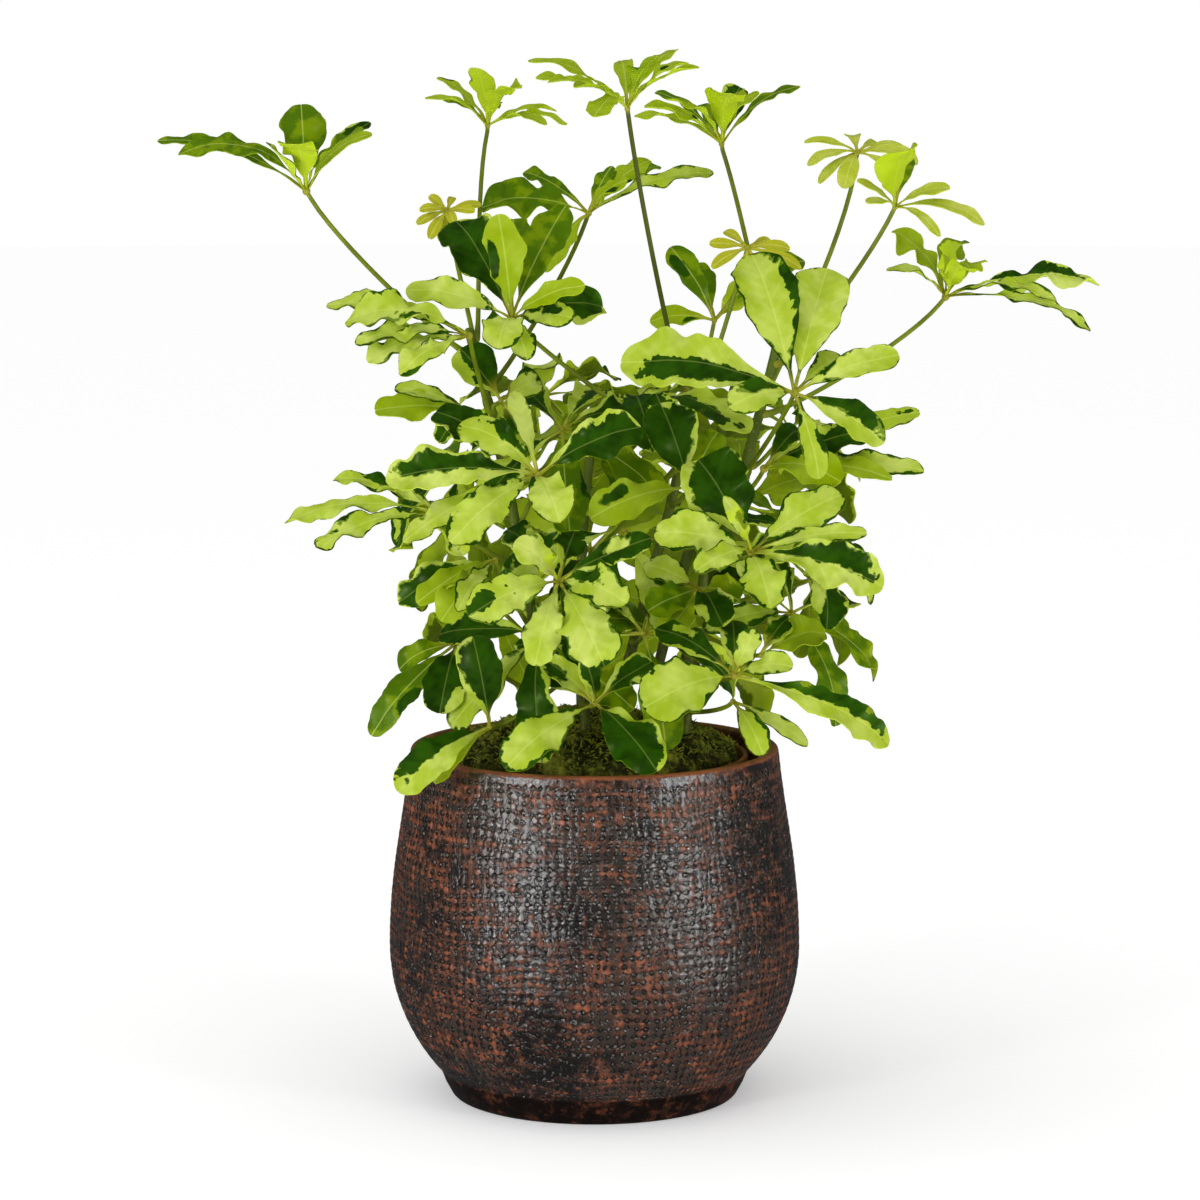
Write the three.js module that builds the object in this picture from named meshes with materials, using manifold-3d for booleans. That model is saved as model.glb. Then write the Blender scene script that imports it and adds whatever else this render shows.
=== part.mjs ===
// Potted umbrella plant: a round ceramic pot with a nursery pot, soil and moss inside, woody canes,
// and umbrella leaves, each a stalk that carries a whorl of waved leaflets.
// Millimetres, +Z up, origin at the centre of the face that the pot stands on.

import * as THREE from "three";
import { ConvexGeometry } from "three/addons/geometries/ConvexGeometry.js";
import { mergeVertices } from "three/addons/utils/BufferGeometryUtils.js";
import Module from "manifold-3d";

const wasm = await Module();
wasm.setup();

// Clearances
const GAP = 0.3;
const CANE_CLEARANCE = 0.6;
const LEAF_CLEARANCE = 0.4;

// Ceramic pot
const POT_FOOT_RADIUS = 76;
const POT_FOOT_BEVEL = 1.2;
const POT_FOOT_HEIGHT = 4;
const POT_BELLY_RADIUS = 103.4;
const POT_BELLY_HEIGHT = 76;
const POT_RIM_RADIUS = 92.4;
const POT_HEIGHT = 177;
const POT_WALL = 5.4;
const POT_FLOOR = 9;
const POT_SIDES = 36;

// Nursery pot, soil and moss
const NURSERY_FLOOR_RADIUS = 56;
const NURSERY_RIM_RADIUS = 77;
const NURSERY_HEIGHT = 164;
const NURSERY_WALL = 1.6;
const NURSERY_FLOOR = 2;
const NURSERY_SIDES = 28;
const SOIL_TOP = 160;
const MOSS_EDGE_TOP = 172;
const MOSS_CROWN = 22;
const MOSS_LUMP = 2.2;
const MOSS_RINGS = 4;
const MOSS_SIDES = 20;

// Canes, leaf stalks and leaflets
const CANE_RADIUS = 2.6;
const CANE_SIDES = 7;
const CANE_STEPS = 8;
const STALK_RADIUS = 1.4;
const STALK_SIDES = 5;
const STALK_STEPS = 5;
const STALK_START = 6;
const KNOB_SHARE = 0.075;
const SMALLEST_KNOB = 2.3;
const ROOT_HALF_WIDTH = 0.75;
const ROOT_SUNK = 0.8;
const STALK_STOP = 0.8;
const STALK_LEAN = 0.4;
const RIB_HALF_THICKNESS = 0.6;
const STALKLET = 0.12;
const WIDEST = 0.64;
const ARCH = 0.12;
const FOLD = 0.16;
const WAVE_DEPTH = 0.17;
const WAVES = 3;

// The offsets of hubs and leaflet tips are taken square to a line of sight that looks down a little.
const SIGHT = THREE.MathUtils.degToRad(7.6);
const RIGHT = new THREE.Vector3(1, 0, 0);
const UP = new THREE.Vector3(0, Math.sin(SIGHT), Math.cos(SIGHT));
const NEAR = new THREE.Vector3(0, -Math.cos(SIGHT), Math.sin(SIGHT));

// What a leaflet or stalk may be bent by to stay clear of its neighbours, the least bend first.
const TIP_SHIFTS = [0, 8, -8, 16, -16, 26, -26];
const ARCHES = [ARCH, 0.22, 0.03];
const BOWS = [0, 7, -7, 14, -14, 22, -22];

// A small generator of repeatable random numbers from 0 to 1.
function seeded(seed) {
  let state = seed;
  return () => {
    state = (state * 16807) % 2147483647;
    return state / 2147483647;
  };
}

// A closed solid from a geometry, with its shared corners merged and its empty triangles left out.
function solidFrom(geometry) {
  const bare = new THREE.BufferGeometry();
  bare.setAttribute("position", geometry.getAttribute("position"));
  if (geometry.index) bare.setIndex(geometry.index);
  const merged = mergeVertices(bare, 1e-4);
  const corners = merged.index.array;
  const kept = [];
  for (let i = 0; i < corners.length; i += 3) {
    const [a, b, c] = [corners[i], corners[i + 1], corners[i + 2]];
    if (a !== b && b !== c && c !== a) kept.push(a, b, c);
  }
  return new wasm.Manifold(
    new wasm.Mesh({
      numProp: 3,
      vertProperties: merged.getAttribute("position").array,
      triVerts: new Uint32Array(kept),
    }),
  );
}

function geometryFrom(solid) {
  const mesh = solid.getMesh();
  const geometry = new THREE.BufferGeometry();
  geometry.setAttribute("position", new THREE.BufferAttribute(mesh.vertProperties, 3));
  geometry.setIndex(new THREE.BufferAttribute(mesh.triVerts, 1));
  geometry.computeVertexNormals();
  return geometry;
}

// A profile of [radius, height] points, from the axis round and back to it, turned about Z.
function turned(profile, sides) {
  const points = profile.map(([radius, height]) => new THREE.Vector2(radius, height));
  return solidFrom(new THREE.LatheGeometry(points, sides).rotateX(Math.PI / 2));
}

// A rod of even radius along a curve.
function rod(curve, radius, sides, steps) {
  const section = new THREE.Shape();
  for (let side = 0; side < sides; side += 1) {
    const turn = (side / sides) * 2 * Math.PI;
    const x = radius * Math.cos(turn);
    const y = radius * Math.sin(turn);
    if (side === 0) section.moveTo(x, y);
    else section.lineTo(x, y);
  }
  const extrusion = { steps, extrudePath: curve, bevelEnabled: false };
  return solidFrom(new THREE.ExtrudeGeometry(section, extrusion));
}

// Pot: the outline goes up the outside from the foot, over the lip and down the inside.
function makePot() {
  const outline = new THREE.Path();
  const lipRadius = POT_WALL / 2;
  const lipHeight = POT_HEIGHT - lipRadius;
  const inner = POT_WALL + 0.6;
  outline.moveTo(0, 0);
  outline.lineTo(POT_FOOT_RADIUS - POT_FOOT_BEVEL, 0);
  outline.lineTo(POT_FOOT_RADIUS, POT_FOOT_BEVEL);
  outline.lineTo(POT_FOOT_RADIUS, POT_FOOT_HEIGHT);
  outline.bezierCurveTo(
    POT_FOOT_RADIUS + 8, 15,
    POT_BELLY_RADIUS, 44,
    POT_BELLY_RADIUS, POT_BELLY_HEIGHT,
  );
  outline.bezierCurveTo(
    POT_BELLY_RADIUS, 110,
    POT_RIM_RADIUS + 3.2, 145,
    POT_RIM_RADIUS, lipHeight,
  );
  outline.quadraticCurveTo(POT_RIM_RADIUS, POT_HEIGHT, POT_RIM_RADIUS - lipRadius, POT_HEIGHT);
  outline.quadraticCurveTo(POT_RIM_RADIUS - POT_WALL, POT_HEIGHT, POT_RIM_RADIUS - POT_WALL, lipHeight);
  outline.bezierCurveTo(
    POT_RIM_RADIUS + 3.2 - inner, 145,
    POT_BELLY_RADIUS - inner, 110,
    POT_BELLY_RADIUS - inner, POT_BELLY_HEIGHT,
  );
  outline.bezierCurveTo(
    POT_BELLY_RADIUS - inner, 46,
    POT_FOOT_RADIUS + 4, POT_FLOOR + 8,
    POT_FOOT_RADIUS - 8, POT_FLOOR,
  );
  outline.lineTo(0, POT_FLOOR);
  const points = outline.getPoints(3).map((point) => [point.x, point.y]);
  return turned(points, POT_SIDES);
}

function makeNurseryPot() {
  const floor = POT_FLOOR + GAP;
  const rim = floor + NURSERY_HEIGHT;
  const outline = [
    [0, floor],
    [NURSERY_FLOOR_RADIUS, floor],
    [NURSERY_RIM_RADIUS - 1.5, rim - 8],
    [NURSERY_RIM_RADIUS, rim - 8],
    [NURSERY_RIM_RADIUS, rim],
    [NURSERY_RIM_RADIUS - NURSERY_WALL - 1, rim],
    [NURSERY_RIM_RADIUS - NURSERY_WALL - 1.5, rim - 8],
    [NURSERY_FLOOR_RADIUS - NURSERY_WALL, floor + NURSERY_FLOOR],
    [0, floor + NURSERY_FLOOR],
  ];
  return turned(outline, NURSERY_SIDES);
}

// The nursery pot's inner radius at a height, from its tapered wall.
function nurseryInside(height) {
  const low = POT_FLOOR + GAP + NURSERY_FLOOR;
  const high = POT_FLOOR + GAP + NURSERY_HEIGHT - 8;
  const share = Math.min((height - low) / (high - low), 1);
  const floorRadius = NURSERY_FLOOR_RADIUS - NURSERY_WALL;
  return floorRadius + share * (NURSERY_RIM_RADIUS - NURSERY_WALL - 1.5 - floorRadius);
}

function makeSoil() {
  const floor = POT_FLOOR + 2 * GAP + NURSERY_FLOOR;
  const fit = 2 * GAP;
  const outline = [
    [0, floor],
    [nurseryInside(floor) - fit, floor],
    [nurseryInside(SOIL_TOP) - fit, SOIL_TOP],
    [0, SOIL_TOP],
  ];
  return turned(outline, NURSERY_SIDES);
}

// The moss cushion's top: a low dome with lumps that run round and across it.
function mossHeight(radius, turn) {
  const share = radius / nurseryInside(SOIL_TOP);
  const lumps = Math.sin(5 * turn + 1) * Math.sin(7 * share) + 0.7 * Math.sin(9 * turn + 9 * share);
  return MOSS_EDGE_TOP + MOSS_CROWN * (1 - share * share) ** 0.7 + MOSS_LUMP * lumps * share;
}

function makeMoss() {
  const edge = nurseryInside(SOIL_TOP) - 2 * GAP;
  const base = SOIL_TOP + GAP;
  const positions = [0, 0, mossHeight(0, 0), 0, 0, base];
  for (let ring = 1; ring <= MOSS_RINGS + 1; ring += 1) {
    for (let side = 0; side < MOSS_SIDES; side += 1) {
      const turn = (side / MOSS_SIDES) * 2 * Math.PI;
      const radius = (edge * Math.min(ring, MOSS_RINGS)) / MOSS_RINGS;
      const height = ring > MOSS_RINGS ? base : mossHeight(Math.min(radius, edge * 0.96), turn);
      positions.push(radius * Math.cos(turn), radius * Math.sin(turn), height);
    }
  }
  const corner = (ring, side) => 2 + (ring - 1) * MOSS_SIDES + (side % MOSS_SIDES);
  const corners = [];
  for (let side = 0; side < MOSS_SIDES; side += 1) {
    corners.push(0, corner(1, side), corner(1, side + 1));
    for (let ring = 1; ring <= MOSS_RINGS; ring += 1) {
      corners.push(corner(ring, side), corner(ring + 1, side), corner(ring + 1, side + 1));
      corners.push(corner(ring, side), corner(ring + 1, side + 1), corner(ring, side + 1));
    }
    corners.push(1, corner(MOSS_RINGS + 1, side + 1), corner(MOSS_RINGS + 1, side));
  }
  const geometry = new THREE.BufferGeometry();
  geometry.setAttribute("position", new THREE.Float32BufferAttribute(positions, 3));
  geometry.setIndex(corners);
  return solidFrom(geometry);
}

// Canes, each a curve by four points from its foot in the soil to its top.
const CANES = {
  left: [[-17, -15, 130], [-24, -14, 215], [-38, -10, 300], [-62, -5, 385]],
  centre: [[3, 0, 130], [6, 2, 215], [46, 0, 295], [48, 0, 362]],
  right: [[26, 8, 130], [38, 8, 215], [74, 2, 300], [92, 0, 385]],
  right_twin: [[14, 14, 130], [28, 13, 210], [52, 12, 290], [70, 12, 356]],
  back: [[-4, 26, 130], [-8, 40, 205], [-10, 52, 270], [0, 58, 335]],
  back_right: [[30, 28, 130], [46, 40, 200], [66, 50, 260], [80, 52, 320]],
  front: [[-4, -34, 130], [-3, -40, 180], [-5, -38, 225], [-9, -30, 262]],
  low_right: [[36, -18, 130], [44, -26, 180], [50, -24, 225], [54, -16, 265]],
};

const curves = {};
for (const [name, points] of Object.entries(CANES)) {
  curves[name] = new THREE.CubicBezierCurve3(...points.map((point) => new THREE.Vector3(...point)));
}

function makeCane(name) {
  return rod(curves[name], CANE_RADIUS, CANE_SIDES, CANE_STEPS);
}

// The plain hole that a cane stands in.
function makeHole(name) {
  const curve = curves[name].clone();
  curve.v0.z -= GAP + 0.2;
  return rod(curve, CANE_RADIUS + CANE_CLEARANCE, CANE_SIDES, CANE_STEPS);
}

// Leaves drawn leaflet by leaflet. hub is in millimetres and at is the share of the cane where the
// stalk leaves it. faces, the way the whorl looks, and each leaflet, from the hub to its tip, are
// measured to the right, up and near, and a leaflet's fourth number is its width.
const DRAWN_LEAVES = [
  {
    name: "top_left",
    cane: "left",
    at: 0.96,
    hub: [-140, -30, 455],
    faces: [0, 0.75, 0.65],
    wave: 0.5,
    tone: "green",
    leaflets: [
      [-72, 25, 5, 10], [-62, 19, 15, 14], [-3, 44, -5, 21], [-3, 17, 50, 18],
      [-17, 18, 35, 10], [30, 36, -20, 9], [32, 28, 10, 9], [30, 25, 35, 12],
    ],
  },
  {
    name: "top_mid_left",
    cane: "left",
    at: 0.98,
    hub: [-54, 52, 485],
    faces: [0, 0.9, 0.4],
    wave: 0.6,
    tone: "lime",
    leaflets: [
      [-31, 14, 10, 6], [-25, 17, -20, 6], [-25, 26, 0, 8], [-5, 25, 25, 14], [2, 15, -35, 10],
      [15, 14, 40, 15], [35, 10, -10, 6], [41, 2, 10, 7], [30, -1, 25, 7],
    ],
  },
  {
    name: "top_centre",
    cane: "centre",
    at: 0.97,
    hub: [16, -38, 495],
    faces: [0, 0.92, 0.35],
    wave: 0.6,
    tone: "green",
    leaflets: [
      [-48, 24, -5, 8], [-44, 13, 10, 9], [-38, 10, 25, 8], [-25, 5, 40, 10], [-16, -9, 50, 13],
      [14, 21, 30, 12], [-3, 28, -25, 9], [24, 33, -30, 8], [29, 24, 0, 8], [34, 17, 20, 8],
    ],
  },
  {
    name: "top_mid_right",
    cane: "right",
    at: 0.98,
    hub: [64, 46, 476],
    faces: [0, 0.85, 0.5],
    wave: 0.7,
    tone: "lime",
    leaflets: [
      [-39, 18, 10, 10], [-33, 29, -20, 7], [-44, 16, -5, 7], [-28, 18, 35, 9],
      [-12, 24, -25, 10], [3, 24, 40, 18], [10, 30, -20, 14], [17, 27, 10, 8], [40, 32, -15, 7],
    ],
  },
  {
    name: "young_right",
    cane: "right",
    at: 0.9,
    hub: [132, 38, 472],
    faces: [0, 0.8, 0.6],
    wave: 0.1,
    tone: "young",
    leaflets: [
      [-27, 5, 5, 6], [-26, -7, 15, 7], [-2, 10, -25, 8], [15, 8, -20, 8], [-8, -19, 20, 10],
      [30, -6, 5, 12], [24, -16, 15, 8], [27, 1, -10, 8], [-20, -16, 10, 6],
    ],
  },
  {
    name: "right_upper",
    cane: "right",
    at: 0.94,
    hub: [147, -20, 447],
    faces: [0, 0.8, 0.6],
    wave: 0.2,
    tone: "pale",
    leaflets: [
      [4, 26, 25, 26], [26, 8, 10, 10], [43, -9, 15, 9], [20, -16, 25, 6], [-19, 12, 5, 6],
      [-15, 0, 25, 8], [8, 28, -20, 10],
    ],
  },
  {
    name: "right_far",
    cane: "right",
    at: 0.84,
    hub: [175, 14, 401],
    faces: [0.1, 0.85, 0.5],
    wave: 1,
    tone: "pale",
    leaflets: [
      [-30, 14, 15, 8], [-25, 34, -10, 15], [5, 28, 20, 13], [8, 12, 50, 20], [12, 17, -15, 10],
      [75, 4, 10, 15], [70, -18, 20, 9], [52, -2, 35, 9],
    ],
  },
  {
    name: "young_centre",
    cane: "centre",
    at: 0.93,
    hub: [75, -20, 427],
    faces: [0, 0.5, 0.85],
    wave: 0,
    tone: "young",
    leaflets: [
      [-11, 9, -10, 5], [-19, 3, 0, 6], [-18, -10, 8, 6], [-3, -20, 12, 9], [9, -21, 12, 9],
      [12, 6, -10, 5], [21, 0, 0, 6], [26, -10, 5, 6],
    ],
  },
  {
    name: "young_left",
    cane: "left",
    at: 0.92,
    hub: [-74, 34, 443],
    faces: [0, 0.5, 0.85],
    wave: 0,
    tone: "young",
    leaflets: [
      [-9, 8, 0, 5], [3, 8, -8, 4], [-14, 1, 4, 5], [-15, -7, 6, 5], [-8, -15, 8, 6],
      [-3, -16, 6, 5], [4, -8, 12, 5], [17, 3, 0, 5], [14, -1, 6, 5],
    ],
  },
  {
    name: "right_front",
    cane: "right",
    at: 0.72,
    hub: [96, -70, 360],
    faces: [0, 0.45, 0.9],
    wave: 0.3,
    tone: "pale",
    leaflets: [
      [-84, 16, 10, 30], [-20, 70, -15, 29], [17, 61, -25, 29], [27, 21, -30, 14],
      [50, 18, 0, 16], [43, -24, 10, 17], [12, -42, 10, 12], [-32, -7, 30, 18],
    ],
  },
  {
    name: "left_crown",
    cane: "centre",
    at: 0.84,
    hub: [-40, -45, 394],
    faces: [0, 0.5, 0.85],
    wave: 0.5,
    tone: "pale",
    leaflets: [
      [-28, 51, -15, 28], [-6, 50, 15, 18], [26, 56, -10, 19], [0, 53, -35, 18],
      [-51, 14, 15, 16], [35, 16, 20, 12], [30, -1, 20, 15], [-6, -16, 40, 20],
      [8, -20, 25, 12], [45, 8, -20, 22],
    ],
  },
  {
    name: "left_wavy",
    cane: "left",
    at: 0.8,
    hub: [-60, -65, 387],
    faces: [0, 0.6, 0.8],
    wave: 1,
    tone: "pale",
    leaflets: [
      [-69, 16, -5, 12], [-60, 7, 10, 17], [-54, -4, 20, 12], [-48, -13, 20, 13],
      [-32, -20, 30, 12],
    ],
  },
  {
    name: "upper_back",
    cane: "left",
    at: 0.89,
    hub: [-3, 52, 441],
    faces: [0, 0.7, 0.7],
    wave: 0.6,
    tone: "pale",
    leaflets: [
      [-55, 5, 0, 28], [-33, 22, -20, 9], [-22, -31, 20, 13], [12, 25, -10, 9],
      [19, 16, 15, 12], [31, 27, -15, 12], [37, 28, -35, 8], [63, 20, 0, 11],
    ],
  },
  {
    name: "left_mid",
    cane: "left",
    at: 0.62,
    hub: [-27, -85, 322],
    faces: [0, 0.45, 0.9],
    wave: 0.6,
    tone: "pale",
    leaflets: [
      [-72, -2, 15, 22], [-38, 25, 5, 19], [-12, 41, -20, 9], [-50, 32, -25, 18],
      [50, 25, 0, 22], [11, -22, 40, 22], [-41, -32, 25, 21], [-65, -32, 5, 12],
    ],
  },
  {
    name: "left_far",
    cane: "left",
    at: 0.55,
    hub: [-75, -40, 298],
    faces: [0, 0.75, 0.65],
    wave: 1,
    tone: "pale",
    leaflets: [
      [-77, -3, 0, 10], [-60, -16, 15, 14], [-53, 17, -10, 10], [-35, 15, -25, 10],
    ],
  },
  {
    name: "front_mid",
    cane: "centre",
    at: 0.78,
    hub: [-17, -100, 273],
    faces: [0, 0.4, 0.92],
    wave: 0.7,
    tone: "pale",
    leaflets: [
      [-42, -16, 30, 22], [-11, -40, 20, 18], [22, -40, 25, 26], [32, -9, 35, 20],
      [44, 20, -5, 13], [8, 25, -30, 14], [-26, 27, -20, 16], [-20, 19, 15, 14],
    ],
  },
  {
    name: "left_low",
    cane: "left",
    at: 0.42,
    hub: [-48, -60, 278],
    faces: [0, 0.5, 0.85],
    wave: 0.8,
    tone: "pale",
    leaflets: [
      [-48, -20, 5, 16], [-37, -21, 20, 12], [-25, -30, 25, 17], [-17, -25, 35, 12],
    ],
  },
  {
    name: "right_mid",
    cane: "right",
    at: 0.56,
    hub: [75, -85, 285],
    faces: [0, 0.45, 0.9],
    wave: 0.8,
    tone: "pale",
    leaflets: [
      [-47, 10, 15, 22], [-25, 45, -10, 34], [44, 28, 0, 20], [55, 9, 5, 10], [63, -16, 15, 22],
      [8, -26, 40, 21], [-27, -8, 35, 14], [-14, 26, 20, 8],
    ],
  },
  {
    name: "front_low",
    cane: "front",
    at: 0.52,
    hub: [0, -75, 210],
    faces: [0, 0.5, 0.85],
    wave: 0.5,
    tone: "pale",
    leaflets: [
      [-43, -30, 25, 21], [30, -31, 35, 26], [-24, 21, 0, 13], [-31, 17, -20, 14],
      [-12, 29, -20, 12], [-5, 24, 20, 10], [28, 20, -10, 14],
    ],
  },
  {
    name: "right_low",
    cane: "low_right",
    at: 0.62,
    hub: [67, -90, 226],
    faces: [0.1, 0.5, 0.85],
    wave: 0.5,
    tone: "pale",
    leaflets: [
      [-44, -14, 25, 31], [-38, 24, -10, 15], [0, 27, -25, 16], [10, 22, 10, 12],
      [27, 5, 20, 12], [75, -32, 5, 18],
    ],
  },
  {
    name: "rim_left",
    cane: "front",
    at: 0.64,
    hub: [-51, -60, 196],
    faces: [0, 0.6, 0.8],
    wave: 0.3,
    tone: "pale",
    leaflets: [
      [-44, -29, 30, 21], [-8, 44, 10, 22], [-28, -26, 10, 10],
    ],
  },
  {
    name: "low_far_left",
    cane: "left",
    at: 0.3,
    hub: [-68, -20, 232],
    faces: [0, 0.5, 0.85],
    wave: 0.4,
    tone: "pale",
    leaflets: [
      [-43, -46, 10, 16], [-30, -13, 0, 13], [-8, -34, 25, 22], [-5, 17, -10, 14],
    ],
  },
  {
    name: "rim_right",
    cane: "low_right",
    at: 0.48,
    hub: [67, -75, 211],
    faces: [0, 0.6, 0.8],
    wave: 0.3,
    tone: "pale",
    leaflets: [
      [14, -25, 20, 13], [35, -21, 10, 9],
    ],
  },
  {
    name: "left_inner",
    cane: "left",
    at: 0.72,
    hub: [-61, -20, 346],
    faces: [0, 0.6, 0.8],
    wave: 0.7,
    tone: "pale",
    leaflets: [
      [-37, 12, 5, 10], [-46, 0, 10, 15], [-15, -14, 20, 14],
    ],
  },
  {
    name: "low_far_right",
    cane: "low_right",
    at: 0.76,
    hub: [82, -30, 227],
    faces: [0, 0.6, 0.8],
    wave: 0.7,
    tone: "pale",
    leaflets: [
      [33, 13, 0, 18], [14, 20, -15, 12],
    ],
  },
  {
    name: "right_inner",
    cane: "right",
    at: 0.66,
    hub: [83, -35, 320],
    faces: [0, 0.5, 0.85],
    wave: 0.7,
    tone: "pale",
    leaflets: [
      [76, 27, -5, 12], [77, -2, 5, 12], [62, -5, 15, 10], [35, -6, 40, 20], [54, 19, 10, 18],
      [19, 21, -20, 14],
    ],
  },
  {
    name: "centre_inner",
    cane: "centre",
    at: 0.7,
    hub: [46, -55, 313],
    faces: [0, 0.4, 0.92],
    wave: 0.4,
    tone: "pale",
    leaflets: [
      [-14, 41, 5, 26], [-16, 47, -20, 16], [-49, -14, 15, 20], [14, 28, -5, 14],
    ],
  },
  {
    name: "upper_inner",
    cane: "centre",
    at: 0.88,
    hub: [60, 20, 389],
    faces: [0, 0.5, 0.85],
    wave: 0.4,
    tone: "pale",
    leaflets: [
      [-22, 37, 0, 14], [-33, 0, 5, 12], [46, 31, -10, 14], [-8, 30, -20, 12], [20, 20, 0, 14],
    ],
  },
  {
    name: "low_inner",
    cane: "low_right",
    at: 0.92,
    hub: [52, -40, 261],
    faces: [0, 0.4, 0.92],
    wave: 0.5,
    tone: "pale",
    leaflets: [
      [-26, -10, 20, 18], [-18, -23, 25, 16], [-28, 13, 5, 14], [10, -18, 25, 18],
      [18, -5, 20, 16],
    ],
  },
  {
    name: "left_core",
    cane: "left",
    at: 0.84,
    hub: [-46, -20, 352],
    faces: [0, 0.5, 0.85],
    wave: 0.3,
    tone: "pale",
    leaflets: [
      [-20, 25, -5, 22], [20, 10, 0, 16], [12, -22, 10, 16],
    ],
  },
];

// Fuller leaves inside the crown and behind it, each an even whorl: count leaflets reach out from
// the hub, droop back by a share of their reach, and turn sets where the first one points.
const WHORLS = [
  { name: "inner_1", cane: "left", at: 0.76, hub: [-16, -22, 338], faces: [-0.1, 0.7, 0.7], turn: 0.3 },
  { name: "inner_2", cane: "centre", at: 0.62, hub: [14, -34, 290], faces: [0, 0.5, 0.85], turn: 0.8 },
  { name: "inner_3", cane: "left", at: 0.66, hub: [-66, 10, 318], faces: [-0.4, 0.8, 0.4], turn: 0.1 },
  { name: "inner_4", cane: "centre", at: 0.4, hub: [24, -44, 240], faces: [0.1, 0.5, 0.85], turn: 0.5 },
  { name: "inner_5", cane: "front", at: 0.92, hub: [-26, -46, 240], faces: [-0.2, 0.5, 0.85], turn: 0.2 },
  { name: "inner_6", cane: "right", at: 0.6, hub: [104, -4, 284], faces: [0.4, 0.8, 0.4], turn: 0.6 },
  { name: "inner_7", cane: "centre", at: 0.8, hub: [20, 14, 348], faces: [-0.2, 0.9, 0.3], turn: 0.4 },
  { name: "inner_8", cane: "right", at: 0.42, hub: [98, -16, 246], faces: [0.4, 0.6, 0.6], turn: 0.9 },
  { name: "back_1", cane: "back", at: 0.96, hub: [-26, 84, 346], faces: [-0.2, 0.8, -0.5], turn: 0.2 },
  { name: "back_2", cane: "back", at: 0.86, hub: [24, 104, 322], faces: [0.1, 0.7, -0.7], turn: 0.5 },
  { name: "back_3", cane: "back", at: 0.68, hub: [-58, 74, 290], faces: [-0.5, 0.6, -0.6], turn: 0.8 },
  { name: "back_4", cane: "back", at: 0.5, hub: [-2, 112, 262], faces: [0, 0.5, -0.85], turn: 0.1 },
  { name: "back_5", cane: "back", at: 0.34, hub: [-52, 88, 236], faces: [-0.5, 0.4, -0.7], turn: 0.4 },
  { name: "back_6", cane: "back_right", at: 0.96, hub: [100, 70, 330], faces: [0.5, 0.8, -0.4], turn: 0.7 },
  { name: "back_7", cane: "back_right", at: 0.78, hub: [74, 96, 288], faces: [0.2, 0.6, -0.8], turn: 0.3 },
  { name: "back_8", cane: "back_right", at: 0.58, hub: [110, 50, 254], faces: [0.7, 0.5, -0.4], turn: 0.6 },
  { name: "back_9", cane: "back_right", at: 0.36, hub: [52, 98, 228], faces: [0.2, 0.4, -0.85], turn: 0.9 },
];
const WHORL_COUNT = 7;
const WHORL_REACH = 54;
const WHORL_WIDTH = 19;
const WHORL_DROOP = 0.3;
const WHORL_WAVE = 0.5;

const LEAF_COLOURS = { pale: 0xb8cd52, lime: 0xa9c832, green: 0x7d9c28, young: 0xc0b83c };
const LEAF_ROUGHNESS = 0.45;

function inSight([right, up, near]) {
  return new THREE.Vector3()
    .addScaledVector(RIGHT, right)
    .addScaledVector(UP, up)
    .addScaledVector(NEAR, near);
}

// An even whorl's leaflets, each a tip from the hub and a width.
function whorlLeaflets(whorl, random) {
  const faces = inSight(whorl.faces).normalize();
  const across = RIGHT.clone().addScaledVector(faces, -RIGHT.dot(faces)).normalize();
  const along = new THREE.Vector3().crossVectors(faces, across);
  const leaflets = [];
  for (let index = 0; index < WHORL_COUNT; index += 1) {
    const turn = ((index + whorl.turn) / WHORL_COUNT) * 2 * Math.PI;
    const reach = WHORL_REACH * (0.82 + 0.36 * random());
    const tip = across.clone().multiplyScalar(reach * Math.cos(turn));
    tip.addScaledVector(along, reach * Math.sin(turn)).addScaledVector(faces, -WHORL_DROOP * reach);
    leaflets.push({ tip, width: WHORL_WIDTH * (0.85 + 0.3 * random()) });
  }
  return leaflets;
}

// The half width of a leaflet at a share of its length: a narrow stalklet, a wedge up to the widest
// place, and a blunt round end.
function halfWidth(width, share) {
  const blade = Math.max(share - STALKLET, 0) / (1 - STALKLET);
  const wedge = Math.sin((Math.PI / 2) * Math.min(blade / WIDEST, 1) ** 1.15);
  const end = Math.sqrt(1 - (Math.max(blade - WIDEST, 0) / (1 - WIDEST)) ** 2.6);
  return Math.max(ROOT_HALF_WIDTH, (width / 2) * wedge * end);
}

// The shares of a leaflet's length where its outline is set, more on a wide one.
function stationsOf(width) {
  if (width < 10) return [0, 0.62];
  if (width < 18) return [0, 0.46, 0.8];
  return [0, 0.36, 0.56, 0.75, 0.92];
}

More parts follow.
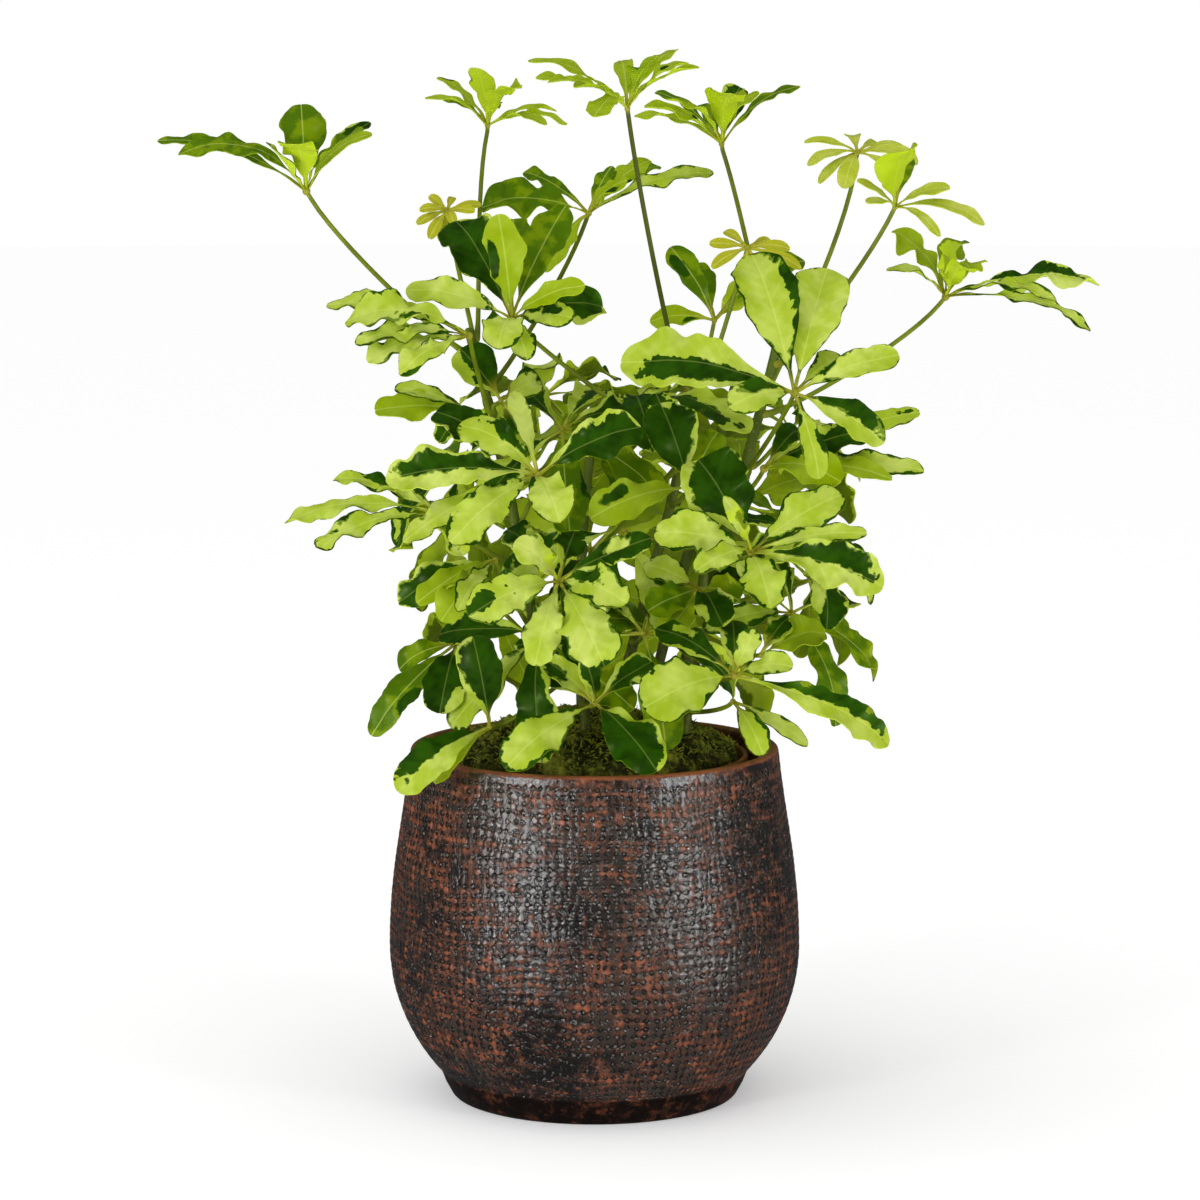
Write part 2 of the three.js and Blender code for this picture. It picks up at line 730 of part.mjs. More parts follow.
// A leaflet's left edge, right edge, top and underside at a share of its length. The rib arches
// from hub to tip, and the two edges are raised by the fold and by waves of their own.
function leafletSection(leaf, leaflet, arch, share, extra) {
  const { tip, width } = leaflet;
  const length = tip.length();
  const upright = leaf.facing.clone().addScaledVector(tip, -leaf.facing.dot(tip) / length ** 2);
  upright.normalize();
  const lift = upright.clone().multiplyScalar(share > 0 ? arch * length : 0);
  const centre = leaf.centre.clone().addScaledVector(tip, share > 0 ? share : leaf.rootAt / length);
  centre.addScaledVector(lift, 4 * share * (1 - share));
  const heading = tip.clone().addScaledVector(lift, 4 * (1 - 2 * share)).normalize();
  const normal = upright.addScaledVector(heading, -upright.dot(heading)).normalize();
  const side = new THREE.Vector3().crossVectors(heading, normal);
  const half = halfWidth(width, share) + extra;
  const fade = Math.sin(Math.PI * share);
  const edge = (sign) => {
    const phase = 2 * Math.PI * WAVES * share + 0.1 * tip.x + sign;
    const rise = FOLD * half + leaf.wave * WAVE_DEPTH * width * fade * Math.sin(phase);
    const reach = half * (1 + 0.12 * leaf.wave * fade * Math.cos(phase));
    return centre.clone().addScaledVector(side, sign * reach).addScaledVector(normal, rise);
  };
  const thickness = RIB_HALF_THICKNESS + extra;
  const top = centre.clone().addScaledVector(normal, thickness);
  const under = centre.clone().addScaledVector(normal, -thickness);
  return [edge(-1), top, edge(1), under];
}

// A leaflet as one closed blade from station first to the tip, its two faces split alike. extra
// thickens it, to test the space round it.
function leafletGeometry(leaf, leaflet, arch, first, extra) {
  const stations = stationsOf(leaflet.width).slice(first);
  const points = stations.flatMap((share) => leafletSection(leaf, leaflet, arch, share, extra));
  const tip = leaf.centre.clone().add(leaflet.tip);
  tip.addScaledVector(leaflet.tip, extra / leaflet.tip.length());
  points.push(tip);
  const corners = [];
  const face = (a, b, c, d) => corners.push(a, b, c, a, c, d);
  face(0, 3, 2, 1);
  for (let near = 0; near + 7 < points.length; near += 4) {
    const far = near + 4;
    face(near, near + 1, far + 1, far);
    face(near, far, far + 3, near + 3);
    face(near + 2, far + 2, far + 1, near + 1);
    face(near + 2, near + 3, far + 3, far + 2);
  }
  const last = points.length - 5;
  const end = points.length - 1;
  corners.push(last, last + 1, end, last + 1, last + 2, end);
  corners.push(last + 2, last + 3, end, last + 3, last, end);
  const geometry = new THREE.BufferGeometry().setFromPoints(points);
  geometry.setIndex(corners);
  return geometry;
}

function leafletSolid(leaf, leaflet, arch, first, extra) {
  return solidFrom(leafletGeometry(leaf, leaflet, arch, first, extra));
}

// The way in which a stalk comes up to its hub: between straight along and square to the whorl.
function stalkHeading(leaf) {
  const along = leaf.centre.clone().sub(curves[leaf.cane].getPoint(leaf.at)).normalize();
  return along.multiplyScalar(1 - STALK_LEAN).addScaledVector(leaf.facing, STALK_LEAN).normalize();
}

// The stalk's curve: square off the cane, then up to the hub from behind the whorl. bow bends it
// sideways.
function stalkCurve(leaf, bow) {
  const cane = curves[leaf.cane];
  const join = cane.getPoint(leaf.at);
  const heading = cane.getTangent(leaf.at);
  const out = leaf.centre.clone().sub(join);
  const length = out.length();
  out.addScaledVector(heading, -out.dot(heading)).normalize();
  const start = join.addScaledVector(out, CANE_RADIUS + GAP);
  const bend = start.clone().addScaledVector(out, STALK_START);
  const side = new THREE.Vector3().crossVectors(out, new THREE.Vector3(0, 0, 1)).normalize();
  const last = stalkHeading(leaf);
  const approach = leaf.centre.clone().addScaledVector(last, -0.3 * length);
  approach.addScaledVector(side, bow);
  const end = leaf.centre.clone().addScaledVector(last, -STALK_STOP * leaf.knob);
  return new THREE.CubicBezierCurve3(start, bend, approach, end);
}

// Everything that a leaf keeps clear of, each with its owner's name and its bounds.
const obstacles = [];

function placeObstacle(owner, solid) {
  obstacles.push({ owner, solid, bounds: solid.boundingBox() });
}

function boundsMeet(one, other) {
  return [0, 1, 2].every((axis) => one.min[axis] < other.max[axis] && other.min[axis] < one.max[axis]);
}

function meets(solid, others) {
  const bounds = solid.boundingBox();
  return others.some((other) => {
    if (!boundsMeet(bounds, other.bounds)) return false;
    return !solid.intersect(other.solid).isEmpty();
  });
}

// The leaf's stalk, bowed as little as keeps it clear of what is already placed.
function growStalk(leaf) {
  const others = obstacles.filter((other) => other.owner !== "cane_" + leaf.cane);
  for (const bow of BOWS) {
    const curve = stalkCurve(leaf, bow);
    const clear = rod(curve, STALK_RADIUS + LEAF_CLEARANCE, STALK_SIDES, STALK_STEPS);
    if (meets(clear, others)) continue;
    return rod(curve, STALK_RADIUS, STALK_SIDES, STALK_STEPS);
  }
  throw new Error(leaf.name + ": its stalk has no clear way");
}

// The leaf's leaflets, each bent as little as keeps it clear of other nodes and of its own fellows.
function growLeaflets(leaf) {
  const others = obstacles.filter((other) => other.owner !== leaf.node);
  const fellows = [];
  const grown = [];
  for (const drawn of leaf.leaflets) {
    const ways = ARCHES.flatMap((arch) => TIP_SHIFTS.map((shift) => ({ arch, shift })));
    ways.sort((one, other) => Math.abs(one.shift) - Math.abs(other.shift));
    const clearWay = ways.find(({ arch, shift }) => {
      const tip = drawn.tip.clone().addScaledVector(NEAR, shift);
      const leaflet = { tip, width: drawn.width };
      if (meets(leafletSolid(leaf, leaflet, arch, 0, LEAF_CLEARANCE), others)) return false;
      return !meets(leafletSolid(leaf, leaflet, arch, 1, LEAF_CLEARANCE), fellows);
    });
    if (!clearWay) continue;
    const tip = drawn.tip.clone().addScaledVector(NEAR, clearWay.shift);
    const leaflet = { tip, width: drawn.width };
    const outer = leafletSolid(leaf, leaflet, clearWay.arch, 1, 0);
    fellows.push({ solid: outer, bounds: outer.boundingBox() });
    grown.push({ leaflet, arch: clearWay.arch });
  }
  return grown;
}

// A geometry's triangles, each as three points.
function trianglesOf(geometry) {
  const points = (geometry.index ? geometry.toNonIndexed() : geometry).getAttribute("position");
  const triangles = [];
  for (let first = 0; first < points.count; first += 3) {
    const corner = (index) => new THREE.Vector3().fromBufferAttribute(points, first + index);
    triangles.push([corner(0), corner(1), corner(2)]);
  }
  return triangles;
}

function liesIn(triangle, seat) {
  return triangle.every((corner) => seat.some((point) => point.distanceTo(corner) < 1e-3));
}

// What meets at a leaf's knob: the stalk and each leaflet, with the seat that each has on the knob,
// the leaflet's own as its root's four corners.
function knobPieces(leaf, grown) {
  const end = leaf.centre.clone().addScaledVector(stalkHeading(leaf), -STALK_STOP * leaf.knob);
  const stalk = geometryFrom(leaf.stalk);
  const points = trianglesOf(stalk).flat();
  const ring = points.filter((corner) => corner.distanceTo(end) < 1.02 * STALK_RADIUS);
  const seat = ring.filter((point, index) => ring.findIndex((other) => other.equals(point)) === index);
  const pieces = [{ geometry: stalk, solid: leaf.stalk, rooted: leaf.stalk, seat }];
  for (const { leaflet, arch } of grown) {
    const geometry = leafletGeometry(leaf, leaflet, arch, 0, 0);
    const rooted = leafletSolid({ ...leaf, rootAt: leaf.knob - ROOT_SUNK }, leaflet, arch, 0, 0);
    const root = leafletSection(leaf, leaflet, arch, 0, 0);
    pieces.push({ geometry, solid: solidFrom(geometry), rooted, seat: root });
  }
  return pieces;
}

// A leaf in one body. The knob is the hull of its pieces' seats. Where a seat is a face of the
// knob and its piece is clear of the others there, the two are sewn together along its edge, and
// where it isn't, the piece is rooted deeper and joined.
function leafSolid(leaf, grown) {
  const pieces = knobPieces(leaf, grown);
  let faces = trianglesOf(new ConvexGeometry(pieces.flatMap((piece) => piece.seat)));
  const sewn = [];
  const rooted = [];
  for (const piece of pieces) {
    const open = faces.filter((face) => liesIn(face, piece.seat)).length === piece.seat.length - 2;
    if (open && !meets(piece.solid, sewn)) {
      sewn.push({ solid: piece.solid, bounds: piece.solid.boundingBox() });
      faces = faces.concat(trianglesOf(piece.geometry)).filter((face) => !liesIn(face, piece.seat));
    } else {
      rooted.push(piece.rooted);
    }
  }
  const core = solidFrom(new THREE.BufferGeometry().setFromPoints(faces.flat()));
  return rooted.reduce((whole, solid) => whole.add(solid), core);
}

const random = seeded(7);
const leaves = [];
for (const drawn of DRAWN_LEAVES) {
  const leaflets = drawn.leaflets.map(([right, up, near, width]) => ({
    tip: inSight([right, up, near]),
    width,
  }));
  leaves.push({ ...drawn, leaflets });
}
for (const whorl of WHORLS) {
  leaves.push({ ...whorl, wave: WHORL_WAVE, tone: "pale", leaflets: whorlLeaflets(whorl, random) });
}
for (const leaf of leaves) {
  leaf.centre = new THREE.Vector3(...leaf.hub);
  leaf.facing = inSight(leaf.faces).normalize();
  const lengths = leaf.leaflets.map((leaflet) => leaflet.tip.length());
  leaf.knob = Math.max(KNOB_SHARE * Math.max(...lengths), SMALLEST_KNOB);
  leaf.rootAt = leaf.knob;
}

const plant = new THREE.Group();

function addPart(name, solid, color, roughness) {
  const material = new THREE.MeshStandardMaterial({ color, roughness, metalness: 0 });
  const mesh = new THREE.Mesh(geometryFrom(solid), material);
  mesh.name = name;
  plant.add(mesh);
  placeObstacle(name, solid);
}

let soil = makeSoil();
let moss = makeMoss();
for (const name of Object.keys(CANES)) {
  const hole = makeHole(name);
  soil = soil.subtract(hole);
  moss = moss.subtract(hole);
}
addPart("pot", makePot(), 0x4a3730, 0.45);
addPart("nursery_pot", makeNurseryPot(), 0x7a4a2c, 0.6);
addPart("soil", soil, 0x2e2119, 0.95);
addPart("moss", moss, 0x33400f, 0.95);
for (const name of Object.keys(CANES)) addPart("cane_" + name, makeCane(name), 0x4d4a22, 0.7);

for (const leaf of leaves) {
  leaf.node = "leaf_" + leaf.name;
  leaf.stalk = growStalk(leaf);
  placeObstacle(leaf.node, leaf.stalk);
  const room = new THREE.IcosahedronGeometry(1.3 * leaf.knob).translate(...leaf.centre);
  placeObstacle(leaf.node, solidFrom(room));
}
for (const leaf of leaves) {
  const solid = leafSolid(leaf, growLeaflets(leaf));
  addPart(leaf.node, solid, LEAF_COLOURS[leaf.tone], LEAF_ROUGHNESS);
}

export default plant;
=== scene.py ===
"""Potted umbrella plant: a woven-print pot, moss, woody canes and variegated umbrella leaves."""

import bisect
import math
import random

import bmesh
import bpy
from bpy.props import FloatProperty, FloatVectorProperty, IntProperty, PointerProperty
from mathutils import Matrix, Vector, kdtree, noise


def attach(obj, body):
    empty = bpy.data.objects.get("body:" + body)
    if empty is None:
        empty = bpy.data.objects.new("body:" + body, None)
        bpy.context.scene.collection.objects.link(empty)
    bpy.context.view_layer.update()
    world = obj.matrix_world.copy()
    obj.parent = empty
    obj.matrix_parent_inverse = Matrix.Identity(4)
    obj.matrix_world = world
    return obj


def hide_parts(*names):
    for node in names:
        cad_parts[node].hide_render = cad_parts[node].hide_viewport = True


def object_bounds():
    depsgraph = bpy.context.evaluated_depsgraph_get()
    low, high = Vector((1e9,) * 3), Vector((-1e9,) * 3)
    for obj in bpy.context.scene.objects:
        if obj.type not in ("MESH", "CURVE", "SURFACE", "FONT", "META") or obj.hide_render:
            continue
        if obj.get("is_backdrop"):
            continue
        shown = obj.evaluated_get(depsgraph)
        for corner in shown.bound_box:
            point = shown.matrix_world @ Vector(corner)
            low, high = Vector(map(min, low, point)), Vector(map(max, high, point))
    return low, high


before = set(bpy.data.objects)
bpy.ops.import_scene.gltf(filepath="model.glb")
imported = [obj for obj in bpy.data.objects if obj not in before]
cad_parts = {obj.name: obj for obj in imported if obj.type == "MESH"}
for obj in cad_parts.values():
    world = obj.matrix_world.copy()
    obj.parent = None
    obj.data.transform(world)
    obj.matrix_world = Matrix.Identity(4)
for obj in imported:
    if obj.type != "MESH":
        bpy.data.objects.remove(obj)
CAD_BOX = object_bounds()

bl_info = {
    "name": "Potted umbrella plant",
    "version": (1, 0, 0),
    "blender": (4, 5, 0),
    "location": "3D View > Sidebar > Plant",
    "description": "Builds a potted umbrella plant over its solid model",
    "category": "Object",
}

MM = 0.001
FULL_TURN = 2 * math.pi
SAME_PLACE = 1e-6

# The offsets of hubs and leaflet tips are taken square to a line of sight that looks down a little.
SIGHT = math.radians(7.6)
RIGHT = Vector((1, 0, 0))
UP = Vector((0, math.sin(SIGHT), math.cos(SIGHT)))
NEAR = Vector((0, -math.cos(SIGHT), math.sin(SIGHT)))

# Pot, moss and canes. The woven print starts above a plain foot, and has this many verts to a
# thread both ways.
FOOT_TOP = 13.5 * MM
THREAD_VERTS = 3
MOSS_EDGE = 73.5 * MM
MOSS_EDGE_TOP = 172 * MM
MOSS_BASE = 160.3 * MM
CANE_STEPS = 150

# The solid model's own values for stalks and leaflets, in millimetres or as shares of a length.
CANE_RADIUS = 2.6
STALK_GAP = 0.3
STALK_START = 6
STALK_LEAN = 0.4
STALK_STOP = 0.8
KNOB_SHARE = 0.075
SMALLEST_KNOB = 2.3
STALKLET = 0.12
ROOT_HALF_WIDTH = 0.75
WIDEST = 0.64
FOLD = 0.16
WAVE_DEPTH = 0.17
WAVES = 3

# How it bends a stalk or leaflet to stay clear of its neighbours, the least bend first. An arch is
# a share of the leaflet's length.
TIP_SHIFTS = (0, 8, -8, 16, -16, 26, -26)
ARCHES = (0.12, 0.22, 0.03)
BOWS = (0, 7, -7, 14, -14, 22, -22)

# The bend is told by corners that the solids have: over a leaflet's rib at the share of its length
# where its blade is first set, for widths up to a limit, and round a stalk at each of its steps.
FIRST_STATIONS = ((10, 0.62), (18, 0.46), (math.inf, 0.36))
RIB_HALF_THICKNESS = 0.6
SOLID_STALK_RADIUS = 1.4
SOLID_STALK_SIDES = 5
SOLID_STALK_STEPS = 5
CORNER_MISS = 0.05
STALK_MISS = 0.06

# Canes, each a curve by four points from its foot in the soil to its top, in millimetres.
CANES = {
    "left": ((-17, -15, 130), (-24, -14, 215), (-38, -10, 300), (-62, -5, 385)),
    "centre": ((3, 0, 130), (6, 2, 215), (46, 0, 295), (48, 0, 362)),
    "right": ((26, 8, 130), (38, 8, 215), (74, 2, 300), (92, 0, 385)),
    "right_twin": ((14, 14, 130), (28, 13, 210), (52, 12, 290), (70, 12, 356)),
    "back": ((-4, 26, 130), (-8, 40, 205), (-10, 52, 270), (0, 58, 335)),
    "back_right": ((30, 28, 130), (46, 40, 200), (66, 50, 260), (80, 52, 320)),
    "front": ((-4, -34, 130), (-3, -40, 180), (-5, -38, 225), (-9, -30, 262)),
    "low_right": ((36, -18, 130), (44, -26, 180), (50, -24, 225), (54, -16, 265)),
}

# Leaves drawn leaflet by leaflet: name, cane, the share of the cane where the stalk leaves it, hub,
# the way the whorl faces, wave, each leaflet's finish, and each leaflet from the hub to its tip
# measured right, up and near, with its width. The finishes are p pale with a dark margin, l lime,
# m mid green, d dark with a pale margin, s dark down the middle, y young, and g between p and y. A
# capital has its dark part on the other side.
DRAWN_LEAVES = (
    ("top_left", "left", 0.96, (-140, -30, 455), (0, 0.75, 0.65), 0.5, "mmmlpdlm", (
        (-72, 25, 5, 10), (-62, 19, 15, 14), (-3, 44, -5, 21), (-3, 17, 50, 18), (-17, 18, 35, 10),
        (30, 36, -20, 9), (32, 28, 10, 9), (30, 25, 35, 12),
    )),
    ("top_mid_left", "left", 0.98, (-54, 52, 485), (0, 0.9, 0.4), 0.6, "lmllmllll", (
        (-31, 14, 10, 6), (-25, 17, -20, 6), (-25, 26, 0, 8), (-5, 25, 25, 14), (2, 15, -35, 10),
        (15, 14, 40, 15), (35, 10, -10, 6), (41, 2, 10, 7), (30, -1, 25, 7),
    )),
    ("top_centre", "centre", 0.97, (16, -38, 495), (0, 0.92, 0.35), 0.6, "lllllmllll", (
        (-48, 24, -5, 8), (-44, 13, 10, 9), (-38, 10, 25, 8), (-25, 5, 40, 10), (-16, -9, 50, 13),
        (14, 21, 30, 12), (-3, 28, -25, 9), (24, 33, -30, 8), (29, 24, 0, 8), (34, 17, 20, 8),
    )),
    ("top_mid_right", "right", 0.98, (64, 46, 476), (0, 0.85, 0.5), 0.7, "lmllmldlm", (
        (-39, 18, 10, 10), (-33, 29, -20, 7), (-44, 16, -5, 7), (-28, 18, 35, 9),
        (-12, 24, -25, 10), (3, 24, 40, 18), (10, 30, -20, 14), (17, 27, 10, 8), (40, 32, -15, 7),
    )),
    ("young_right", "right", 0.9, (132, 38, 472), (0, 0.8, 0.6), 0.1, "ggggggggg", (
        (-27, 5, 5, 6), (-26, -7, 15, 7), (-2, 10, -25, 8), (15, 8, -20, 8), (-8, -19, 20, 10),
        (30, -6, 5, 12), (24, -16, 15, 8), (27, 1, -10, 8), (-20, -16, 10, 6),
    )),
    ("right_upper", "right", 0.94, (147, -20, 447), (0, 0.8, 0.6), 0.2, "lgggggm", (
        (4, 26, 25, 26), (26, 8, 10, 10), (43, -9, 15, 9), (20, -16, 25, 6), (-19, 12, 5, 6),
        (-15, 0, 25, 8), (8, 28, -20, 10),
    )),
    ("right_far", "right", 0.84, (175, 14, 401), (0.1, 0.85, 0.5), 1, "plpllspp", (
        (-30, 14, 15, 8), (-25, 34, -10, 15), (5, 28, 20, 13), (8, 12, 50, 20), (12, 17, -15, 10),
        (75, 4, 10, 15), (70, -18, 20, 9), (52, -2, 35, 9),
    )),
    ("young_centre", "centre", 0.93, (75, -20, 427), (0, 0.5, 0.85), 0, "yyyyyyyy", (
        (-11, 9, -10, 5), (-19, 3, 0, 6), (-18, -10, 8, 6), (-3, -20, 12, 9), (9, -21, 12, 9),
        (12, 6, -10, 5), (21, 0, 0, 6), (26, -10, 5, 6),
    )),
    ("young_left", "left", 0.92, (-74, 34, 443), (0, 0.5, 0.85), 0, "yyyyyyyyy", (
        (-9, 8, 0, 5), (3, 8, -8, 4), (-14, 1, 4, 5), (-15, -7, 6, 5), (-8, -15, 8, 6),
        (-3, -16, 6, 5), (4, -8, 12, 5), (17, 3, 0, 5), (14, -1, 6, 5),
    )),
    ("right_front", "right", 0.72, (96, -70, 360), (0, 0.45, 0.9), 0.3, "sppppspp", (
        (-84, 16, 10, 30), (-20, 70, -15, 29), (17, 61, -25, 29), (27, 21, -30, 14),
        (50, 18, 0, 16), (43, -24, 10, 17), (12, -42, 10, 12), (-32, -7, 30, 18),
    )),
    ("left_crown", "centre", 0.84, (-40, -45, 394), (0, 0.5, 0.85), 0.5, "dlmmplpppd", (
        (-28, 51, -15, 28), (-6, 50, 15, 18), (26, 56, -10, 19), (0, 53, -35, 18),
        (-51, 14, 15, 16), (35, 16, 20, 12), (30, -1, 20, 15), (-6, -16, 40, 20), (8, -20, 25, 12),
        (45, 8, -20, 22),
    )),
    ("left_wavy", "left", 0.8, (-60, -65, 387), (0, 0.6, 0.8), 1, "ppppp", (
        (-69, 16, -5, 12), (-60, 7, 10, 17), (-54, -4, 20, 12), (-48, -13, 20, 13),
        (-32, -20, 30, 12),
    )),
    ("upper_back", "left", 0.89, (-3, 52, 441), (0, 0.7, 0.7), 0.6, "mmlmllmp", (
        (-55, 5, 0, 28), (-33, 22, -20, 9), (-22, -31, 20, 13), (12, 25, -10, 9), (19, 16, 15, 12),
        (31, 27, -15, 12), (37, 28, -35, 8), (63, 20, 0, 11),
    )),
    ("left_mid", "left", 0.62, (-27, -85, 322), (0, 0.45, 0.9), 0.6, "sppddppp", (
        (-72, -2, 15, 22), (-38, 25, 5, 19), (-12, 41, -20, 9), (-50, 32, -25, 18), (50, 25, 0, 22),
        (11, -22, 40, 22), (-41, -32, 25, 21), (-65, -32, 5, 12),
    )),
    ("left_far", "left", 0.55, (-75, -40, 298), (0, 0.75, 0.65), 1, "pppp", (
        (-77, -3, 0, 10), (-60, -16, 15, 14), (-53, 17, -10, 10), (-35, 15, -25, 10),
    )),
    ("front_mid", "centre", 0.78, (-17, -100, 273), (0, 0.4, 0.92), 0.7, "ppppdddp", (
        (-42, -16, 30, 22), (-11, -40, 20, 18), (22, -40, 25, 26), (32, -9, 35, 20),
        (44, 20, -5, 13), (8, 25, -30, 14), (-26, 27, -20, 16), (-20, 19, 15, 14),
    )),
    ("left_low", "left", 0.42, (-48, -60, 278), (0, 0.5, 0.85), 0.8, "dllp", (
        (-48, -20, 5, 16), (-37, -21, 20, 12), (-25, -30, 25, 17), (-17, -25, 35, 12),
    )),
    ("right_mid", "right", 0.56, (75, -85, 285), (0, 0.45, 0.9), 0.8, "pdppsppp", (
        (-47, 10, 15, 22), (-25, 45, -10, 34), (44, 28, 0, 20), (55, 9, 5, 10), (63, -16, 15, 22),
        (8, -26, 40, 21), (-27, -8, 35, 14), (-14, 26, 20, 8),
    )),
    ("front_low", "front", 0.52, (0, -75, 210), (0, 0.5, 0.85), 0.5, "pdpdddd", (
        (-43, -30, 25, 21), (30, -31, 35, 26), (-24, 21, 0, 13), (-31, 17, -20, 14),
        (-12, 29, -20, 12), (-5, 24, 20, 10), (28, 20, -10, 14),
    )),
    ("right_low", "low_right", 0.62, (67, -90, 226), (0.1, 0.5, 0.85), 0.5, "pddpps", (
        (-44, -14, 25, 31), (-38, 24, -10, 15), (0, 27, -25, 16), (10, 22, 10, 12), (27, 5, 20, 12),
        (75, -32, 5, 18),
    )),
    ("rim_left", "front", 0.64, (-51, -60, 196), (0, 0.6, 0.8), 0.3, "Sdl", (
        (-44, -29, 30, 21), (-8, 44, 10, 22), (-28, -26, 10, 10),
    )),
    ("low_far_left", "left", 0.3, (-68, -20, 232), (0, 0.5, 0.85), 0.4, "mmdm", (
        (-43, -46, 10, 16), (-30, -13, 0, 13), (-8, -34, 25, 22), (-5, 17, -10, 14),
    )),
    ("rim_right", "low_right", 0.48, (67, -75, 211), (0, 0.6, 0.8), 0.3, "pp", (
        (14, -25, 20, 13), (35, -21, 10, 9),
    )),
    ("left_inner", "left", 0.72, (-61, -20, 346), (0, 0.6, 0.8), 0.7, "pld", (
        (-37, 12, 5, 10), (-46, 0, 10, 15), (-15, -14, 20, 14),
    )),
    ("low_far_right", "low_right", 0.76, (82, -30, 227), (0, 0.6, 0.8), 0.7, "ld", (
        (33, 13, 0, 18), (14, 20, -15, 12),
    )),
    ("right_inner", "right", 0.66, (83, -35, 320), (0, 0.5, 0.85), 0.7, "pplldd", (
        (76, 27, -5, 12), (77, -2, 5, 12), (62, -5, 15, 10), (35, -6, 40, 20), (54, 19, 10, 18),
        (19, 21, -20, 14),
    )),
    ("centre_inner", "centre", 0.7, (46, -55, 313), (0, 0.4, 0.92), 0.4, "ddlm", (
        (-14, 41, 5, 26), (-16, 47, -20, 16), (-49, -14, 15, 20), (14, 28, -5, 14),
    )),
    ("upper_inner", "centre", 0.88, (60, 20, 389), (0, 0.5, 0.85), 0.4, "mlmml", (
        (-22, 37, 0, 14), (-33, 0, 5, 12), (46, 31, -10, 14), (-8, 30, -20, 12), (20, 20, 0, 14),
    )),
    ("low_inner", "low_right", 0.92, (52, -40, 261), (0, 0.4, 0.92), 0.5, "mlpdm", (
        (-26, -10, 20, 18), (-18, -23, 25, 16), (-28, 13, 5, 14), (10, -18, 25, 18),
        (18, -5, 20, 16),
    )),
    ("left_core", "left", 0.84, (-46, -20, 352), (0, 0.5, 0.85), 0.3, "dpd", (
        (-20, 25, -5, 22), (20, 10, 0, 16), (12, -22, 10, 16),
    )),
)

# Fuller whorls inside the crown and behind it: name, cane, share of the cane, hub, the way it faces
# and where its first leaflet points.
WHORLS = (
    ("inner_1", "left", 0.76, (-16, -22, 338), (-0.1, 0.7, 0.7), 0.3),
    ("inner_2", "centre", 0.62, (14, -34, 290), (0, 0.5, 0.85), 0.8),
    ("inner_3", "left", 0.66, (-66, 10, 318), (-0.4, 0.8, 0.4), 0.1),
    ("inner_4", "centre", 0.4, (24, -44, 240), (0.1, 0.5, 0.85), 0.5),
    ("inner_5", "front", 0.92, (-26, -46, 240), (-0.2, 0.5, 0.85), 0.2),
    ("inner_6", "right", 0.6, (104, -4, 284), (0.4, 0.8, 0.4), 0.6),
    ("inner_7", "centre", 0.8, (20, 14, 348), (-0.2, 0.9, 0.3), 0.4),
    ("inner_8", "right", 0.42, (98, -16, 246), (0.4, 0.6, 0.6), 0.9),
    ("back_1", "back", 0.96, (-26, 84, 346), (-0.2, 0.8, -0.5), 0.2),
    ("back_2", "back", 0.86, (24, 104, 322), (0.1, 0.7, -0.7), 0.5),
    ("back_3", "back", 0.68, (-58, 74, 290), (-0.5, 0.6, -0.6), 0.8),
    ("back_4", "back", 0.5, (-2, 112, 262), (0, 0.5, -0.85), 0.1),
    ("back_5", "back", 0.34, (-52, 88, 236), (-0.5, 0.4, -0.7), 0.4),
    ("back_6", "back_right", 0.96, (100, 70, 330), (0.5, 0.8, -0.4), 0.7),
    ("back_7", "back_right", 0.78, (74, 96, 288), (0.2, 0.6, -0.8), 0.3),
    ("back_8", "back_right", 0.58, (110, 50, 254), (0.7, 0.5, -0.4), 0.6),
    ("back_9", "back_right", 0.36, (52, 98, 228), (0.2, 0.4, -0.85), 0.9),
)
WHORL_COUNT = 7
WHORL_REACH = 54
WHORL_WIDTH = 19
WHORL_DROOP = 0.3
WHORL_WAVE = 0.5
WHORL_FINISHES = "ddsmdmp"

# How dark a few of the upper leaves' stalks are, from 0 to 1, and the side veins' spacing.
DARK_STALKS = {"top_centre": 0.9, "top_mid_right": 0.35, "top_mid_left": 0.3, "upper_back": 0.4}
VEIN_SPACING = 6.1


def srgb(red, green, blue):
    """A screen colour of 0 to 255 as the linear colour that a shader takes."""
    shares = (level / 255 for level in (red, green, blue))
    return tuple(s / 12.92 if s <= 0.04045 else ((s + 0.055) / 1.055) ** 2.4 for s in shares)


def dimmed(tone, share):
    """A linear colour with only a share of its light."""
    return tuple(share * level for level in tone)


def colour(name, description, red, green, blue):
    """A colour setting whose default is given as on screen."""
    return FloatVectorProperty(
        name=name, description=description, default=srgb(red, green, blue),
        subtype="COLOR", size=3, min=0, max=1,
    )


def length(name, description, millimetres):
    """A length setting whose default is given in millimetres."""
    return FloatProperty(
        name=name, description=description, default=millimetres * MM, unit="LENGTH", min=0,
        precision=5,
    )


